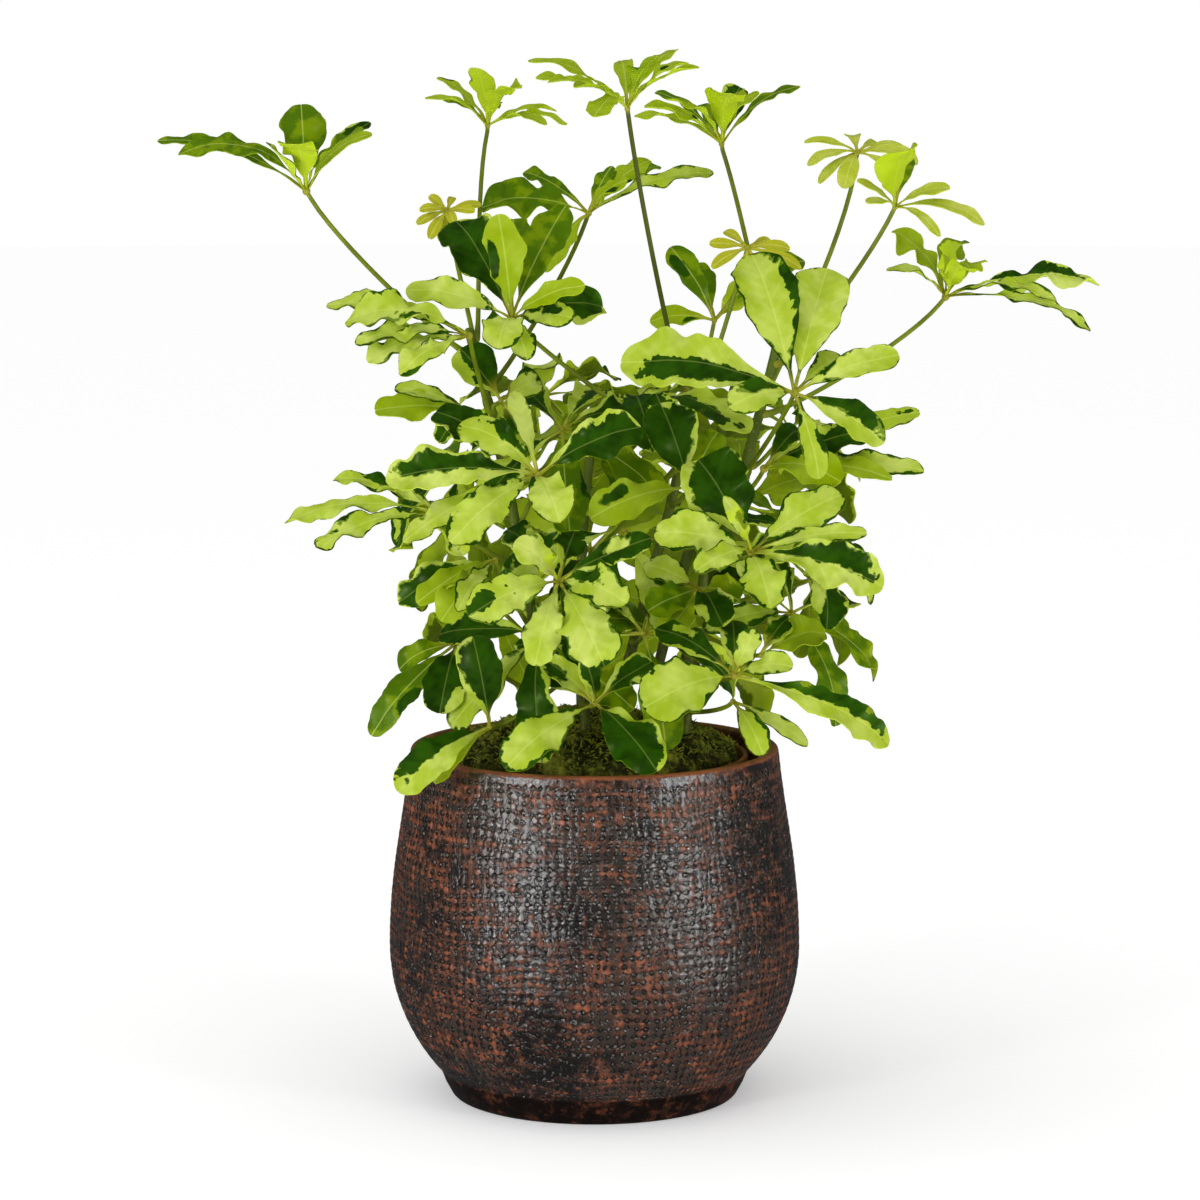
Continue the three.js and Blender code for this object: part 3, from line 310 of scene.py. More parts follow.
class PlantPotSettings(bpy.types.PropertyGroup):
    foot_radius: length("Foot radius", "Radius of the flat foot", 76)
    belly_radius: length("Belly radius", "Widest radius", 103.4)
    belly_height: length("Belly height", "Height of the widest part", 76)
    rim_radius: length("Rim radius", "Outside radius of the lip", 92.4)
    height: length("Height", "Height of the lip", 177)
    wall: length("Wall", "Thickness of the wall", 5.4)
    weave_pitch: length("Weave pitch", "Height of one row of the woven print", 4.2)
    weave_columns: IntProperty(
        name="Weave columns", description="Columns of the woven print all round", default=146,
    )
    pit_depth: length("Pit depth", "Depth of a hole of the woven print", 0.75)
    thread_rise: length("Thread rise", "Height of a crossing of two threads", 0.15)
    clay: colour("Clay", "Bare fired clay", 154, 84, 50)
    dark_clay: colour("Dark clay", "Clay stained by the glaze", 76, 44, 28)
    glaze: colour("Glaze", "Dark satin glaze", 18, 10, 7)
    # A painted glint: the pale colour put in the middle of each hole of the print.
    painted_glint: colour("Painted glint", "Pale glint painted in the middle of a hole", 150, 142, 132)
    worn_glaze: colour("Worn glaze", "Glaze rubbed thin on the threads", 66, 54, 45)


class PlantFoliageSettings(bpy.types.PropertyGroup):
    blade_thickness: length("Blade thickness", "Thickness of a leaflet", 0.5)
    row_length: length("Row length", "Length of one row of faces along a leaflet", 1.5)
    stalk_radius: length("Stalk radius", "Radius of a leaf stalk at the cane", 1.7)
    frill: length("Frill", "Depth of the notches in a waved edge", 3.4)
    pale: colour("Pale", "Pale leaf colour", 175, 196, 60)
    butter: colour("Butter", "Palest patches of a pale leaflet", 206, 220, 112)
    lime: colour("Lime", "Lime leaf colour", 146, 170, 4)
    mid: colour("Mid green", "Mid green leaf colour", 78, 112, 4)
    dark: colour("Dark green", "Dark green leaf colour", 36, 76, 4)
    deep: colour("Deep green", "Deepest green between the veins", 20, 54, 2)
    young: colour("Young", "Young leaf colour", 176, 176, 40)
    # Brighter than a real underside: partly its paler colour, partly painted light shining through
    # the leaf.
    under: colour("Underside", "Underside of a leaflet", 196, 220, 28)
    stalk: colour("Stalk", "Leaf stalk colour", 122, 140, 18)
    knob: colour("Knob", "Colour where the leaflets meet", 168, 162, 46)
    bark: colour("Bark", "Colour of the canes", 82, 76, 30)
    green_bark: colour("Green bark", "Younger bark", 92, 112, 20)
    bark_spot: colour("Bark spots", "Pale breathing spots of the bark", 150, 146, 80)


class PlantGroundSettings(bpy.types.PropertyGroup):
    crown: length("Moss crown", "Rise of the moss towards the middle", 22)
    clump: length("Moss clump", "Depth of the moss clumps", 8)
    strands: IntProperty(name="Moss strands", description="Number of loose strands", default=2200)
    moss: colour("Moss", "Dark moss colour", 40, 44, 10)
    # Partly the paler real tips, partly a painted highlight on what stands out.
    moss_tip_and_highlight: colour("Moss tips", "Colour of the moss tips", 142, 146, 44)
    soil: colour("Soil", "Potting soil colour", 44, 32, 22)
    crumb: colour("Soil crumbs", "Colour of the soil's paler crumbs", 88, 66, 46)
    plastic: colour("Nursery pot", "Colour of the plastic nursery pot", 142, 78, 40)


class PlantStageSettings(bpy.types.PropertyGroup):
    lens: FloatProperty(
        name="Lens", description="Focal length", default=125.04, min=10, unit="CAMERA",
    )
    distance: length("Distance", "Distance of the camera in front of the axis", 2065)
    camera_height: length("Camera height", "Height of the camera", 526)
    left_power: FloatProperty(
        name="Left light", description="Power of the left softbox", default=10, min=0, unit="POWER",
    )
    right_power: FloatProperty(
        name="Right light", description="Power of the right softbox", default=8.5, min=0,
        unit="POWER",
    )
    dome: FloatProperty(name="Dome light", description="Strength from above", default=1.75, min=0)
    room: FloatProperty(name="Room light", description="Strength of the room", default=0.25, min=0)


class Signal:
    """A node's output. Sums of it with numbers and other outputs are nodes of the same material."""

    def __init__(self, pattern, socket):
        self.pattern = pattern
        self.socket = socket

    def __add__(self, other):
        return self.pattern.sum("ADD", self, other)

    def __sub__(self, other):
        return self.pattern.sum("SUBTRACT", self, other)

    def __rsub__(self, other):
        return self.pattern.sum("SUBTRACT", other, self)

    def __mul__(self, other):
        return self.pattern.sum("MULTIPLY", self, other)

    def __truediv__(self, other):
        return self.pattern.sum("DIVIDE", self, other)

    def __neg__(self):
        return self * -1

    def __abs__(self):
        return self.pattern.sum("ABSOLUTE", self)


class Pattern:
    """A material and the nodes that drive its one shader."""

    def __init__(self, name):
        self.material = bpy.data.materials.new(name)
        self.material.use_nodes = True
        self.tree = self.material.node_tree
        self.shader = self.tree.nodes["Principled BSDF"]

    def put(self, socket, value):
        """Joins a socket to another node's output, or sets it to a plain number or colour."""
        if isinstance(value, Signal):
            self.tree.links.new(value.socket, socket)
        elif hasattr(value, "__len__") and len(socket.default_value) == 4:
            socket.default_value = (*value, 1)
        else:
            socket.default_value = value

    def node(self, kind, inputs, output=0, **settings):
        """One output of a new node. Inputs and output are given by their names or places."""
        node = self.tree.nodes.new(kind)
        for key, value in settings.items():
            setattr(node, key, value)
        for key, value in inputs.items():
            self.put(node.inputs[key], value)
        return Signal(self, node.outputs[output])

    def shade(self, **sockets):
        for key, value in sockets.items():
            self.put(self.shader.inputs[key.replace("_", " ")], value)

    def place(self):
        """Where a point lies on the object."""
        return self.node("ShaderNodeTexCoord", {}, "Object")

    def split(self, vector):
        """The three numbers of a vector."""
        node = self.tree.nodes.new("ShaderNodeSeparateXYZ")
        self.put(node.inputs[0], vector)
        return [Signal(self, socket) for socket in node.outputs]

    def attribute(self, name):
        """The three numbers of an attribute."""
        return self.split(self.node("ShaderNodeAttribute", {}, "Vector", attribute_name=name))

    def join(self, *values):
        return self.node("ShaderNodeCombineXYZ", dict(enumerate(values)))

    def sum(self, operation, *values):
        return self.node("ShaderNodeMath", dict(enumerate(values)), operation=operation)

    def most(self, one, *others):
        """The largest of some values."""
        for other in others:
            one = self.sum("MAXIMUM", one, other)
        return one

    def distance(self, x, y):
        """How far a point lies from the middle of its plane."""
        return self.sum("SQRT", x * x + y * y)

    def step(self, value, low, high, start=0.0, end=1.0):
        """start below low, end above high, and a smooth way between them."""
        inputs = dict(enumerate((value, low, high, start, end)))
        return self.node("ShaderNodeMapRange", inputs, interpolation_type="SMOOTHSTEP", clamp=True)

    def blend(self, share, one, other):
        """One colour, or a share of another. The node's colour sockets come after its others."""
        return self.node("ShaderNodeMix", {0: share, 6: one, 7: other}, 2, data_type="RGBA")

    def noise(self, vector, scale, detail=2.0, roughness=0.5):
        inputs = {"Vector": vector, "Scale": scale, "Detail": detail, "Roughness": roughness}
        return self.node("ShaderNodeTexNoise", inputs, "Fac")

    def cells(self, vector, scale):
        """Distance to the nearest of scattered points."""
        inputs = {"Vector": vector, "Scale": scale}
        return self.node("ShaderNodeTexVoronoi", inputs, "Distance")

    def bump(self, height, distance, strength=1.0):
        inputs = {"Height": height, "Distance": distance, "Strength": strength}
        normal = self.node("ShaderNodeBump", inputs)
        for name in ("Normal", "Coat Normal"):
            self.put(self.shader.inputs[name], normal)


def pot_material(settings):
    """Satin dark glaze over clay, printed with a coarse weave. Its holes are dark, glossy pits,
    darkened with painted shade, each with a painted glint in its middle. weave is 1 at a hole's
    middle across and along, and 0 on the threads."""
    p = Pattern("Glazed pot")
    place = p.place()
    x, y, z = p.split(place)
    across, along, _ = p.attribute("weave")
    grain = p.noise(place, 260, 3, 0.6) - 0.5
    across = across * 2 - 1 + grain * 2.2
    along = along * 2 - 1 + grain * 1.6
    from_middle = p.distance(1 - across, 1 - along)
    hole = p.step(from_middle, 1.6, 2.3, 1.0, 0.0)
    hole_middle = p.step(from_middle, 0.5, 1.2, 1.0, 0.0)
    depth = p.step(p.noise(place, 240), 0.34, 0.5, 0.25, 1.0)

    # The print stops at the foot and the rim. The inside leans in, and is told by its radius.
    near_foot = p.step(z, FOOT_TOP - 1.3 * MM, FOOT_TOP + 1.7 * MM, 1.0, 0.0)
    near_rim = p.step(z, settings.height - 6.5 * MM, settings.height - 3 * MM)
    upright = p.distance(x, y) + p.step(z, 120 * MM, 176 * MM) * (9 * MM)
    inside = p.step(z, 100 * MM, 120 * MM) * p.step(upright, 95.5 * MM, 96.5 * MM, 1.0, 0.0)
    woven = 1 - p.most(near_foot, inside, near_rim)
    pit = hole * depth * woven
    hole_middle = hole_middle * pit
    ridge = p.most(p.step(-across, 0.2, 1.0) * woven, p.step(-along, 0.1, 0.9) * woven)

    # The glaze is worn off in patches, streaks and flecks, more on the threads and near the rim.
    patches = p.noise(place, 20, 4, 0.6) - 0.5
    flecks = p.noise(place, 130, 6, 0.8)
    streaks = p.noise(p.join(x, y, z * 2.4), 60, 5, 0.7) - 0.5
    worn = patches * 0.9 + streaks * 1.1 + (flecks - 0.5) * 2.6 + ridge * 0.05
    worn = worn + p.step(z, 120 * MM, 175 * MM, 0.0, 0.08)
    bare = p.step(worn, 0.11, 0.2) * (1 - pit * 0.9) * (1 - near_foot * 0.7)
    rim = p.step(z + flecks * (3 * MM), settings.height - 0.8 * MM, settings.height + 0.8 * MM)
    raw = p.most(inside, rim)
    unglazed = p.most(bare, raw)

    rubbed = p.step(p.noise(place, 11, 3), 0.44, 0.6) * ridge
    skin = p.blend(rubbed * 0.8, settings.glaze, settings.worn_glaze)
    skin = p.blend(p.step(worn, -0.06, 0.1), skin, settings.dark_clay)
    skin = p.blend(near_foot * 0.85, skin, settings.glaze)
    clay_spots = p.step(p.noise(place, 210, 4, 0.65), 0.36, 0.62)
    skin = p.blend(bare, skin, p.blend(clay_spots, settings.clay, settings.dark_clay))
    lip_spots = p.step(p.noise(place, 60, 4), 0.4, 0.65, 0.0, 0.6)
    skin = p.blend(raw, skin, p.blend(lip_spots, settings.clay, settings.dark_clay))
    # The holes take the glaze at a third of its brightness: glaze that fills them, darkened further
    # with painted shade.
    skin = p.blend(pit * 0.9, skin, dimmed(settings.glaze, 0.3))
    # A pale spot in the middle of each hole, where the noise allows: a painted glint.
    glint_spots = p.step(p.noise(place, 150), 0.42, 0.58, 0.1, 0.55)
    skin = p.blend(hole_middle * glint_spots, skin, settings.painted_glint)
    p.shade(
        Base_Color=skin, Roughness=0.3 - pit * 0.12 + unglazed * 0.16,
        Specular_IOR_Level=0.45 - near_foot * 0.3, Coat_Roughness=0.15, Coat_IOR=1.9,
        Coat_Weight=(1 - unglazed * 0.65) * (1 - near_foot * 0.88),
    )
    p.bump((hole_middle - pit) * 0.8 + grain * 0.7 + flecks * 0.5 + bare * 0.12, 0.8 * MM)
    return p.material


def blade_material(settings):
    """Variegated leaf. spot is (across, along, leaflet number) in millimetres, field is (how far
    into the dark part, how far the boundary wanders), tint is (mid green, lime, young) and under is
    1 on the underside, whose pale colour is partly painted light shining through."""
    p = Pattern("Leaf blade")
    across, along, number = p.attribute("spot")
    into_dark, wander, _ = p.attribute("field")
    mid, lime, young = p.attribute("tint")
    under = p.attribute("under")[0]
    aside = abs(across)
    vein = along - aside * 0.9
    spot = p.join(across, along, number * 7.7)
    along_vein = p.join(vein * 0.3, p.sum("SIGN", across) * 3, number)

    # The dark part's boundary wanders in steps along the veins, and has a mid green halo.
    stepped = p.noise(along_vein, 1.0, 1.5) - 0.5
    fine = p.noise(spot, 0.4, 3, 0.6) - 0.5
    lobes = p.noise(spot, 0.11) - 0.5
    clouds = p.noise(spot, 0.07, 3)
    depth = into_dark + (stepped * 4.0 + fine * 3.6 + lobes * 11.0) * wander
    dark = p.step(depth, -0.12, 0.12)
    fringe = (clouds - 0.42) * (wander * 5.0)
    halo = p.step(depth + p.most(fringe, 0.0), -0.15, 0.15)

    pale = p.blend(p.step(clouds, 0.36, 0.66), settings.pale, settings.butter)
    greener = p.step(p.noise(spot, 0.05, 3, 0.6), 0.5, 0.72, 0.0, 0.5)
    pale = p.blend(greener, pale, settings.lime)
    lime_leaf = p.blend(p.step(clouds, 0.3, 0.7, 0.0, 0.45), settings.lime, settings.pale)
    mid_patches = p.step(p.noise(spot, 0.12, 3), 0.45, 0.62, 0.0, 0.5)
    mid_leaf = p.blend(mid_patches, settings.mid, settings.lime)
    dark_leaf = p.blend(p.step(p.noise(spot, 0.1, 3), 0.38, 0.64), settings.dark, settings.deep)
    skin = p.blend(lime, pale, lime_leaf)
    skin = p.blend(mid, skin, mid_leaf)
    skin = p.blend(young, skin, settings.young)
    skin = p.blend(halo * 0.8, skin, settings.mid)
    skin = p.blend(dark, skin, dark_leaf)

    # Bands between the side veins lean a little to mid green: painted shade between the veins.
    side_vein = abs(p.sum("FRACT", (vein + lobes * 3.0) / VEIN_SPACING) - 0.5)
    skin = p.blend(p.step(side_vein, 0.02, 0.3, 0.0, 0.06), skin, settings.mid)
    rib = p.step(aside, 0.15, 0.5, 1.0, 0.0) * (0.38 - dark * 0.24)
    skin = p.blend(rib, skin, settings.butter)
    skin = p.blend(p.step(along, 3.0, 13.0, 0.7, 0.0), skin, settings.knob)
    # Undersides take the underside colour: partly their paler colour, partly painted light shining
    # through the blade.
    greenness = dark * 0.3 + mid * 0.25
    skin = p.blend(under, skin, p.blend(0.6 - greenness, skin, settings.under))
    gloss = p.step(p.noise(spot, 0.2), 0.3, 0.7, 0.3, 0.42) + under * 0.2
    p.shade(
        Base_Color=skin, Roughness=gloss, Specular_IOR_Level=0.22, Specular_Tint=(0.8, 1, 0.4),
        Subsurface_Weight=0.25, Subsurface_Radius=(1.0, 1.0, 0.3), Subsurface_Scale=1.5 * MM,
    )
    quilt = p.sum("COSINE", vein * (FULL_TURN / VEIN_SPACING))
    p.bump(quilt * -0.1 + p.step(aside, 0.2, 1.6, -0.6, 0.0), 0.3 * MM, 0.5)
    return p.material


def stalk_material(settings):
    """Smooth green stalk, browner at the knob and at its foot. spot's first number is the share of
    the stalk's length, and tint's is how far it is darkened."""
    p = Pattern("Leaf stalk")
    way = p.attribute("spot")[0]
    darkened = p.attribute("tint")[0]
    streaks = p.step(p.noise(p.place(), 60, 1), 0.35, 0.7)
    green = p.blend(streaks, settings.stalk, dimmed(settings.stalk, 0.65))
    green = p.blend(darkened, green, dimmed(settings.stalk, 0.35))
    ends = p.most(p.step(way, 0.93, 1.0, 0.0, 0.75), p.step(way, 0.0, 0.12, 0.6, 0.0))
    p.shade(Base_Color=p.blend(ends, green, settings.knob), Roughness=0.4, Specular_IOR_Level=0.3)
    return p.material


def bark_material(settings):
    """Olive bark with fine cracks along it and pale breathing spots, greener higher up."""
    p = Pattern("Bark")
    place = p.place()
    x, y, z = p.split(place)
    cracks = p.noise(p.join(x, y, z * 0.22), 420, 4, 0.6)
    spots = p.step(p.cells(place, 260), 0.16, 0.26, 1.0, 0.0)
    older = p.blend(p.step(cracks, 0.4, 0.62), settings.bark, settings.green_bark)
    younger = p.blend(p.step(cracks, 0.4, 0.7, 0.0, 0.4), settings.green_bark, settings.bark)
    height = z + p.noise(place, 30) * (60 * MM)
    skin = p.blend(p.step(height, 230 * MM, 310 * MM), older, younger)
    skin = p.blend(spots * 0.4, skin, settings.bark_spot)
    p.shade(Base_Color=skin, Roughness=0.55, Specular_IOR_Level=0.3)
    p.bump(cracks + spots, 0.5 * MM)
    return p.material


def moss_material(settings):
    """Dark moss, paler where it stands out: partly paler tips, partly painted highlight. spot's
    first number is how far a point stands out.
    """
    p = Pattern("Moss")
    place = p.place()
    proud = p.attribute("spot")[0]
    tufts = p.noise(place, 330, 4, 0.65)
    # What stands out is painted paler: partly paler tips, partly painted highlight.
    tips = p.step(proud + (tufts - 0.5) * 1.2, 0.3, 0.95)
    skin = p.blend(tips, settings.moss, settings.moss_tip_and_highlight)
    gaps = p.step(p.noise(place, 45, 3), 0.55, 0.7, 0.0, 0.6)
    p.shade(Base_Color=p.blend(gaps, skin, settings.soil), Roughness=0.85, Specular_IOR_Level=0.2)
    p.bump(tufts, 1.5 * MM)
    return p.material


def soil_material(settings):
    """Crumbly peat."""
    p = Pattern("Soil")
    crumbs = p.noise(p.place(), 190, 5, 0.7)
    skin = p.blend(p.step(crumbs, 0.35, 0.7), settings.soil, settings.crumb)
    p.shade(Base_Color=skin, Roughness=0.95)
    p.bump(crumbs, 2 * MM)
    return p.material


def plastic_material(settings):
    """Matt plastic with faint flow marks."""
    p = Pattern("Nursery plastic")
    place = p.place()
    marks = p.noise(place, 55, 3)
    skin = p.blend(p.step(marks, 0.3, 0.7), settings.plastic, dimmed(settings.plastic, 0.7))
    p.shade(Base_Color=skin, Roughness=p.step(marks, 0.3, 0.7, 0.45, 0.6))
    p.bump(p.noise(place, 700), 0.1 * MM)
    return p.material


def shared_material(name, make, settings):
    """The material of that name, made on its first use."""
    return bpy.data.materials.get(name) or make(settings)


def mesh_from(name, bm):
    """A mesh with the shape of a bmesh, which is freed."""
    mesh = bpy.data.meshes.new(name)
    bm.to_mesh(mesh)
    bm.free()
    return mesh


def added(name, data):
    """A new object in the scene."""
    made = bpy.data.objects.new(name, data)
    bpy.context.scene.collection.objects.link(made)
    return made


def finished_piece(name, bm, materials, node):
    """A mesh object at the origin that stands for a CAD node and rides on the root."""
    mesh = mesh_from(name, bm)
    for material in materials:
        mesh.materials.append(material)
    mesh.shade_smooth()
    piece = added(name, mesh)
    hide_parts(node)
    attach(piece, "root")
    return piece


def eased(value, low, high):
    """0 below low, 1 above high, and a smooth way between them."""
    share = min(max((value - low) / (high - low), 0), 1)
    return share * share * (3 - 2 * share)


def bezier(points, share):
    """The point and the heading of a cubic curve at a share of its way."""
    a, b, c, d = points
    rest = 1 - share
    point = a * rest**3 + 3 * b * rest**2 * share + 3 * c * rest * share**2 + d * share**3
    heading = (b - a) * 3 * rest**2 + (c - b) * 6 * rest * share + (d - c) * 3 * share**2
    return point, heading.normalized()


def spun(bm, profile, steps):
    """Turns a profile of (radius, height) points about Z into a closed skin."""
    corners = [bm.verts.new((radius, 0, height)) for radius, height in profile]
    edges = [bm.edges.new(pair) for pair in zip(corners, corners[1:])]
    bmesh.ops.spin(bm, geom=corners + edges, cent=(0, 0, 0), axis=(0, 0, 1), dvec=(0, 0, 0),
                   angle=FULL_TURN, steps=steps, use_merge=True, use_duplicate=False)
    bmesh.ops.remove_doubles(bm, verts=bm.verts, dist=SAME_PLACE)
    bmesh.ops.recalc_face_normals(bm, faces=bm.faces)


def curve_profile(parts, steps):
    """Points along a chain of cubic curves, each given by its four (radius, height) corners."""
    profile = []
    for part in parts:
        corners = [Vector((radius, 0, height)) for radius, height in part]
        for index in range(steps if part is not parts[-1] else steps + 1):
            point = bezier(corners, index / steps)[0]
            profile.append((point.x, point.z))
    return profile


def radius_by_height(profile):
    """A function that gives the radius of a rising (radius, height) profile at any height."""
    radii, heights = zip(*profile)

    def radius(height):
        above = min(max(bisect.bisect(heights, height), 1), len(heights) - 1)
        share = (height - heights[above - 1]) / (heights[above] - heights[above - 1])
        return radii[above - 1] + (radii[above] - radii[above - 1]) * share

    return radius


def tube(bm, points, radii, sides):
    """A closed tube through points. Returns its verts, ring by ring."""
    heading = (points[1] - points[0]).normalized()
    turn = heading.to_track_quat("Z", "Y").to_matrix().to_4x4()
    ring = bmesh.ops.create_circle(bm, segments=sides, radius=radii[0],
                                   matrix=Matrix.Translation(points[0]) @ turn)["verts"]
    edges = first_edges = list({edge for vert in ring for edge in vert.link_edges})
    rings = [ring]
    for index in range(1, len(points)):
        grown = bmesh.ops.extrude_edge_only(bm, edges=edges)["geom"]
        ring = [item for item in grown if isinstance(item, bmesh.types.BMVert)]
        edges = [item for item in grown if isinstance(item, bmesh.types.BMEdge)
                 and all(vert in ring for vert in item.verts)]
        after = points[min(index + 1, len(points) - 1)]
        fresh = (after - points[index - 1]).normalized()
        swing = heading.rotation_difference(fresh).to_matrix()
        grow = radii[index] / radii[index - 1]
        for vert in ring:
            vert.co = points[index] + swing @ (vert.co - points[index - 1]) * grow
        heading = fresh
        rings.append(ring)
    for loop in (first_edges, edges):
        bmesh.ops.holes_fill(bm, edges=loop, sides=0)
    return rings


def in_sight(offset):
    """A direction given right, up and near, in the frame's own axes."""
    return RIGHT * offset[0] + UP * offset[1] + NEAR * offset[2]


class Leaf:
    """One umbrella leaf of the solid model, in millimetres, with the bends that it was given."""

    def __init__(self, name, cane, at, hub, faces, wave, leaflets):
        self.name = name
        self.node = "leaf_" + name
        self.cane = cane
        self.at = at
        self.hub = Vector(hub)
        self.facing = in_sight(faces).normalized()
        self.wave = wave
        longest = max(tip.length for tip, width, finish in leaflets)
        self.knob = max(KNOB_SHARE * longest, SMALLEST_KNOB)
        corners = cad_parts[self.node].data.vertices
        self.corners = kdtree.KDTree(len(corners))
        for index, corner in enumerate(corners):
            self.corners.insert(corner.co / MM, index)
        self.corners.balance()
        self.leaflets = []
        for tip, width, finish in leaflets:
            bend = self.bend(tip, width)
            if bend:
                arch, shift = bend
                self.leaflets.append((tip + NEAR * shift, width, arch, finish))

    def holds(self, point):
        """True if the solid has a corner there."""
        return self.corners.find(point)[2] < CORNER_MISS

    def bend(self, tip, width):
        """The arch and the shift of the tip with which the solid holds this leaflet, or None."""
        ways = sorted(((arch, shift) for arch in ARCHES for shift in TIP_SHIFTS),
                      key=lambda way: abs(way[1]))
        station = next(share for limit, share in FIRST_STATIONS if width < limit)
        for arch, shift in ways:
            moved = tip + NEAR * shift
            centre, _, normal, _ = self.section(moved, width, arch, station)
            if self.holds(self.hub + moved) and self.holds(centre + normal * RIB_HALF_THICKNESS):
                return arch, shift
        return None

    def section(self, tip, width, arch, share):
        """A leaflet's centre, sideways direction, normal and half width at a share of its length:
        a narrow stalklet, a wedge up to the widest place, and a blunt round end."""
        reach = tip.length
        upright = (self.facing - tip * (self.facing.dot(tip) / reach**2)).normalized()
        lift = upright * (arch * reach)
        centre = self.hub + tip * share + lift * (4 * share * (1 - share))
        heading = (tip + lift * (4 * (1 - 2 * share))).normalized()
        normal = (upright - heading * upright.dot(heading)).normalized()
        blade = max(share - STALKLET, 0) / (1 - STALKLET)
        wedge = math.sin(math.pi / 2 * min(blade / WIDEST, 1) ** 1.15)
        end = math.sqrt(max(1 - (max(blade - WIDEST, 0) / (1 - WIDEST)) ** 2.6, 0))
        half = max(ROOT_HALF_WIDTH, width / 2 * wedge * end)
        return centre, heading.cross(normal), normal, half

    def stalk(self):
        """The four corners of the stalk's curve, with the bow that the solid holds."""
        join, heading = bezier([Vector(point) for point in CANES[self.cane]], self.at)
        out = self.hub - join
        reach = out.length
        straight = out / reach
        out = (out - heading * out.dot(heading)).normalized()
        start = join + out * (CANE_RADIUS + STALK_GAP)
        side = out.cross(Vector((0, 0, 1))).normalized()
        last = (straight * (1 - STALK_LEAN) + self.facing * STALK_LEAN).normalized()
        end = self.hub - last * (STALK_STOP * self.knob)

        def curve(bow):
            approach = self.hub - last * (0.3 * reach) + side * bow
            return start, start + out * STALK_START, approach, end

        def fit(bow):
            """How many corners of the solid lie at the stalk's radius from this curve."""
            middles = [bezier(curve(bow), step / SOLID_STALK_STEPS)[0]
                       for step in range(1, SOLID_STALK_STEPS)]
            return sum(
                abs(away - SOLID_STALK_RADIUS) < STALK_MISS
                for middle in middles
                for _, _, away in self.corners.find_n(middle, SOLID_STALK_SIDES)
            )

        return curve(max(BOWS, key=lambda bow: (fit(bow), -abs(bow))))


def repeatable():
    """A small generator of repeatable random numbers from 0 to 1, the solid model's own."""
    state = 7
    while True:
        state = state * 16807 % 2147483647
        yield state / 2147483647


def drawn_leaves():
    for name, cane, at, hub, faces, wave, finishes, rows in DRAWN_LEAVES:
        leaflets = [(in_sight(row[:3]), row[3], finish) for row, finish in zip(rows, finishes)]
        yield Leaf(name, cane, at, hub, faces, wave, leaflets)


def whorl_leaves():
    drawn = repeatable()
    for order, (name, cane, at, hub, faces, turn) in enumerate(WHORLS):
        facing = in_sight(faces).normalized()
        across = (RIGHT - facing * RIGHT.dot(facing)).normalized()
        along = facing.cross(across)
        leaflets = []
        for index in range(WHORL_COUNT):
            angle = (index + turn) / WHORL_COUNT * FULL_TURN
            reach = WHORL_REACH * (0.82 + 0.36 * next(drawn))
            tip = across * (reach * math.cos(angle)) + along * (reach * math.sin(angle))
            width = WHORL_WIDTH * (0.85 + 0.3 * next(drawn))
            finish = WHORL_FINISHES[(3 * order + 2 * index) % len(WHORL_FINISHES)]
            leaflets.append((tip - facing * (WHORL_DROOP * reach), width, finish))
        yield Leaf(name, cane, at, hub, faces, WHORL_WAVE, leaflets)


class Finish:
    """How one leaflet's colours lie, as the blade material reads them."""

    TINTS = {"m": (1, 0, 0), "l": (0, 1, 0), "y": (0, 0, 1), "g": (0, 0, 0.45)}
    WANDERS = {"p": 0.85, "l": 0.4, "m": 0.5, "d": 0.85, "s": 0.8}

    def __init__(self, kind, half, reach, chance):
        mirror = -1 if kind.isupper() else 1
        kind = kind.lower()
        slim = min(half / 8, 1)
        self.kind = kind
        self.half = half
        self.reach = reach
        self.tint = Vector(self.TINTS.get(kind, (0, chance.uniform(0, 0.5), 0)))
        self.margin = chance.uniform(-0.1, 0.9) * max(slim, 0.6) if kind == "p" else -0.4
        self.island = chance.random() < (0.5 if kind in "pd" else 0.2)
        self.island_across = chance.choice((-1, 1)) * chance.uniform(0.3, 1)
        self.island_share = chance.uniform(0.35, 0.95)
        self.island_size = chance.uniform(0.2, 0.5) * half
        self.side = mirror * chance.choice((-1, 1))
        self.lean = self.side * chance.uniform(0.25, 0.6)
        self.to_margin = chance.random() < 0.4
        self.wander = self.WANDERS.get(kind, 0) * slim

    def field(self, across, share, edge):
        """How far into the dark part a point at this distance from the edge is, and the wander."""
        if self.kind in "yg":
            return Vector((-9, 0, 0))
        island = self.island_size - math.hypot((across - self.island_across) * self.half,
                                               (share - self.island_share) * self.reach * 0.4)
        if self.kind == "d":
            # The pale margin runs down one side and is widest near the base.
            pale = (0.22 * self.half + 2.4 * (1 - share)) * eased(across * self.side, -0.3, 0.5)
            into = edge - pale + 0.9
            into = min(into, -island) if self.island else into
        elif self.kind == "s":
            # The dark band leans to one side and ends before the base and the tip.
            aside = (across - self.lean) * self.half
            if self.to_margin and aside * self.side > 0:
                aside = 0
            into = min(0.42 * self.half - abs(aside), (share - 0.12) * self.reach * 0.25,
                       (0.88 - share) * self.reach * 0.25)
        else:
            into = self.margin - edge
            into = max(into, island) if self.island else into
        # The thin line along a pale edge hardly wanders.
        wander = self.wander * (1 if self.kind in "ds" else 0.25 + 0.75 * eased(edge, 0.2, 1.2))
        return Vector((into, wander, 0))


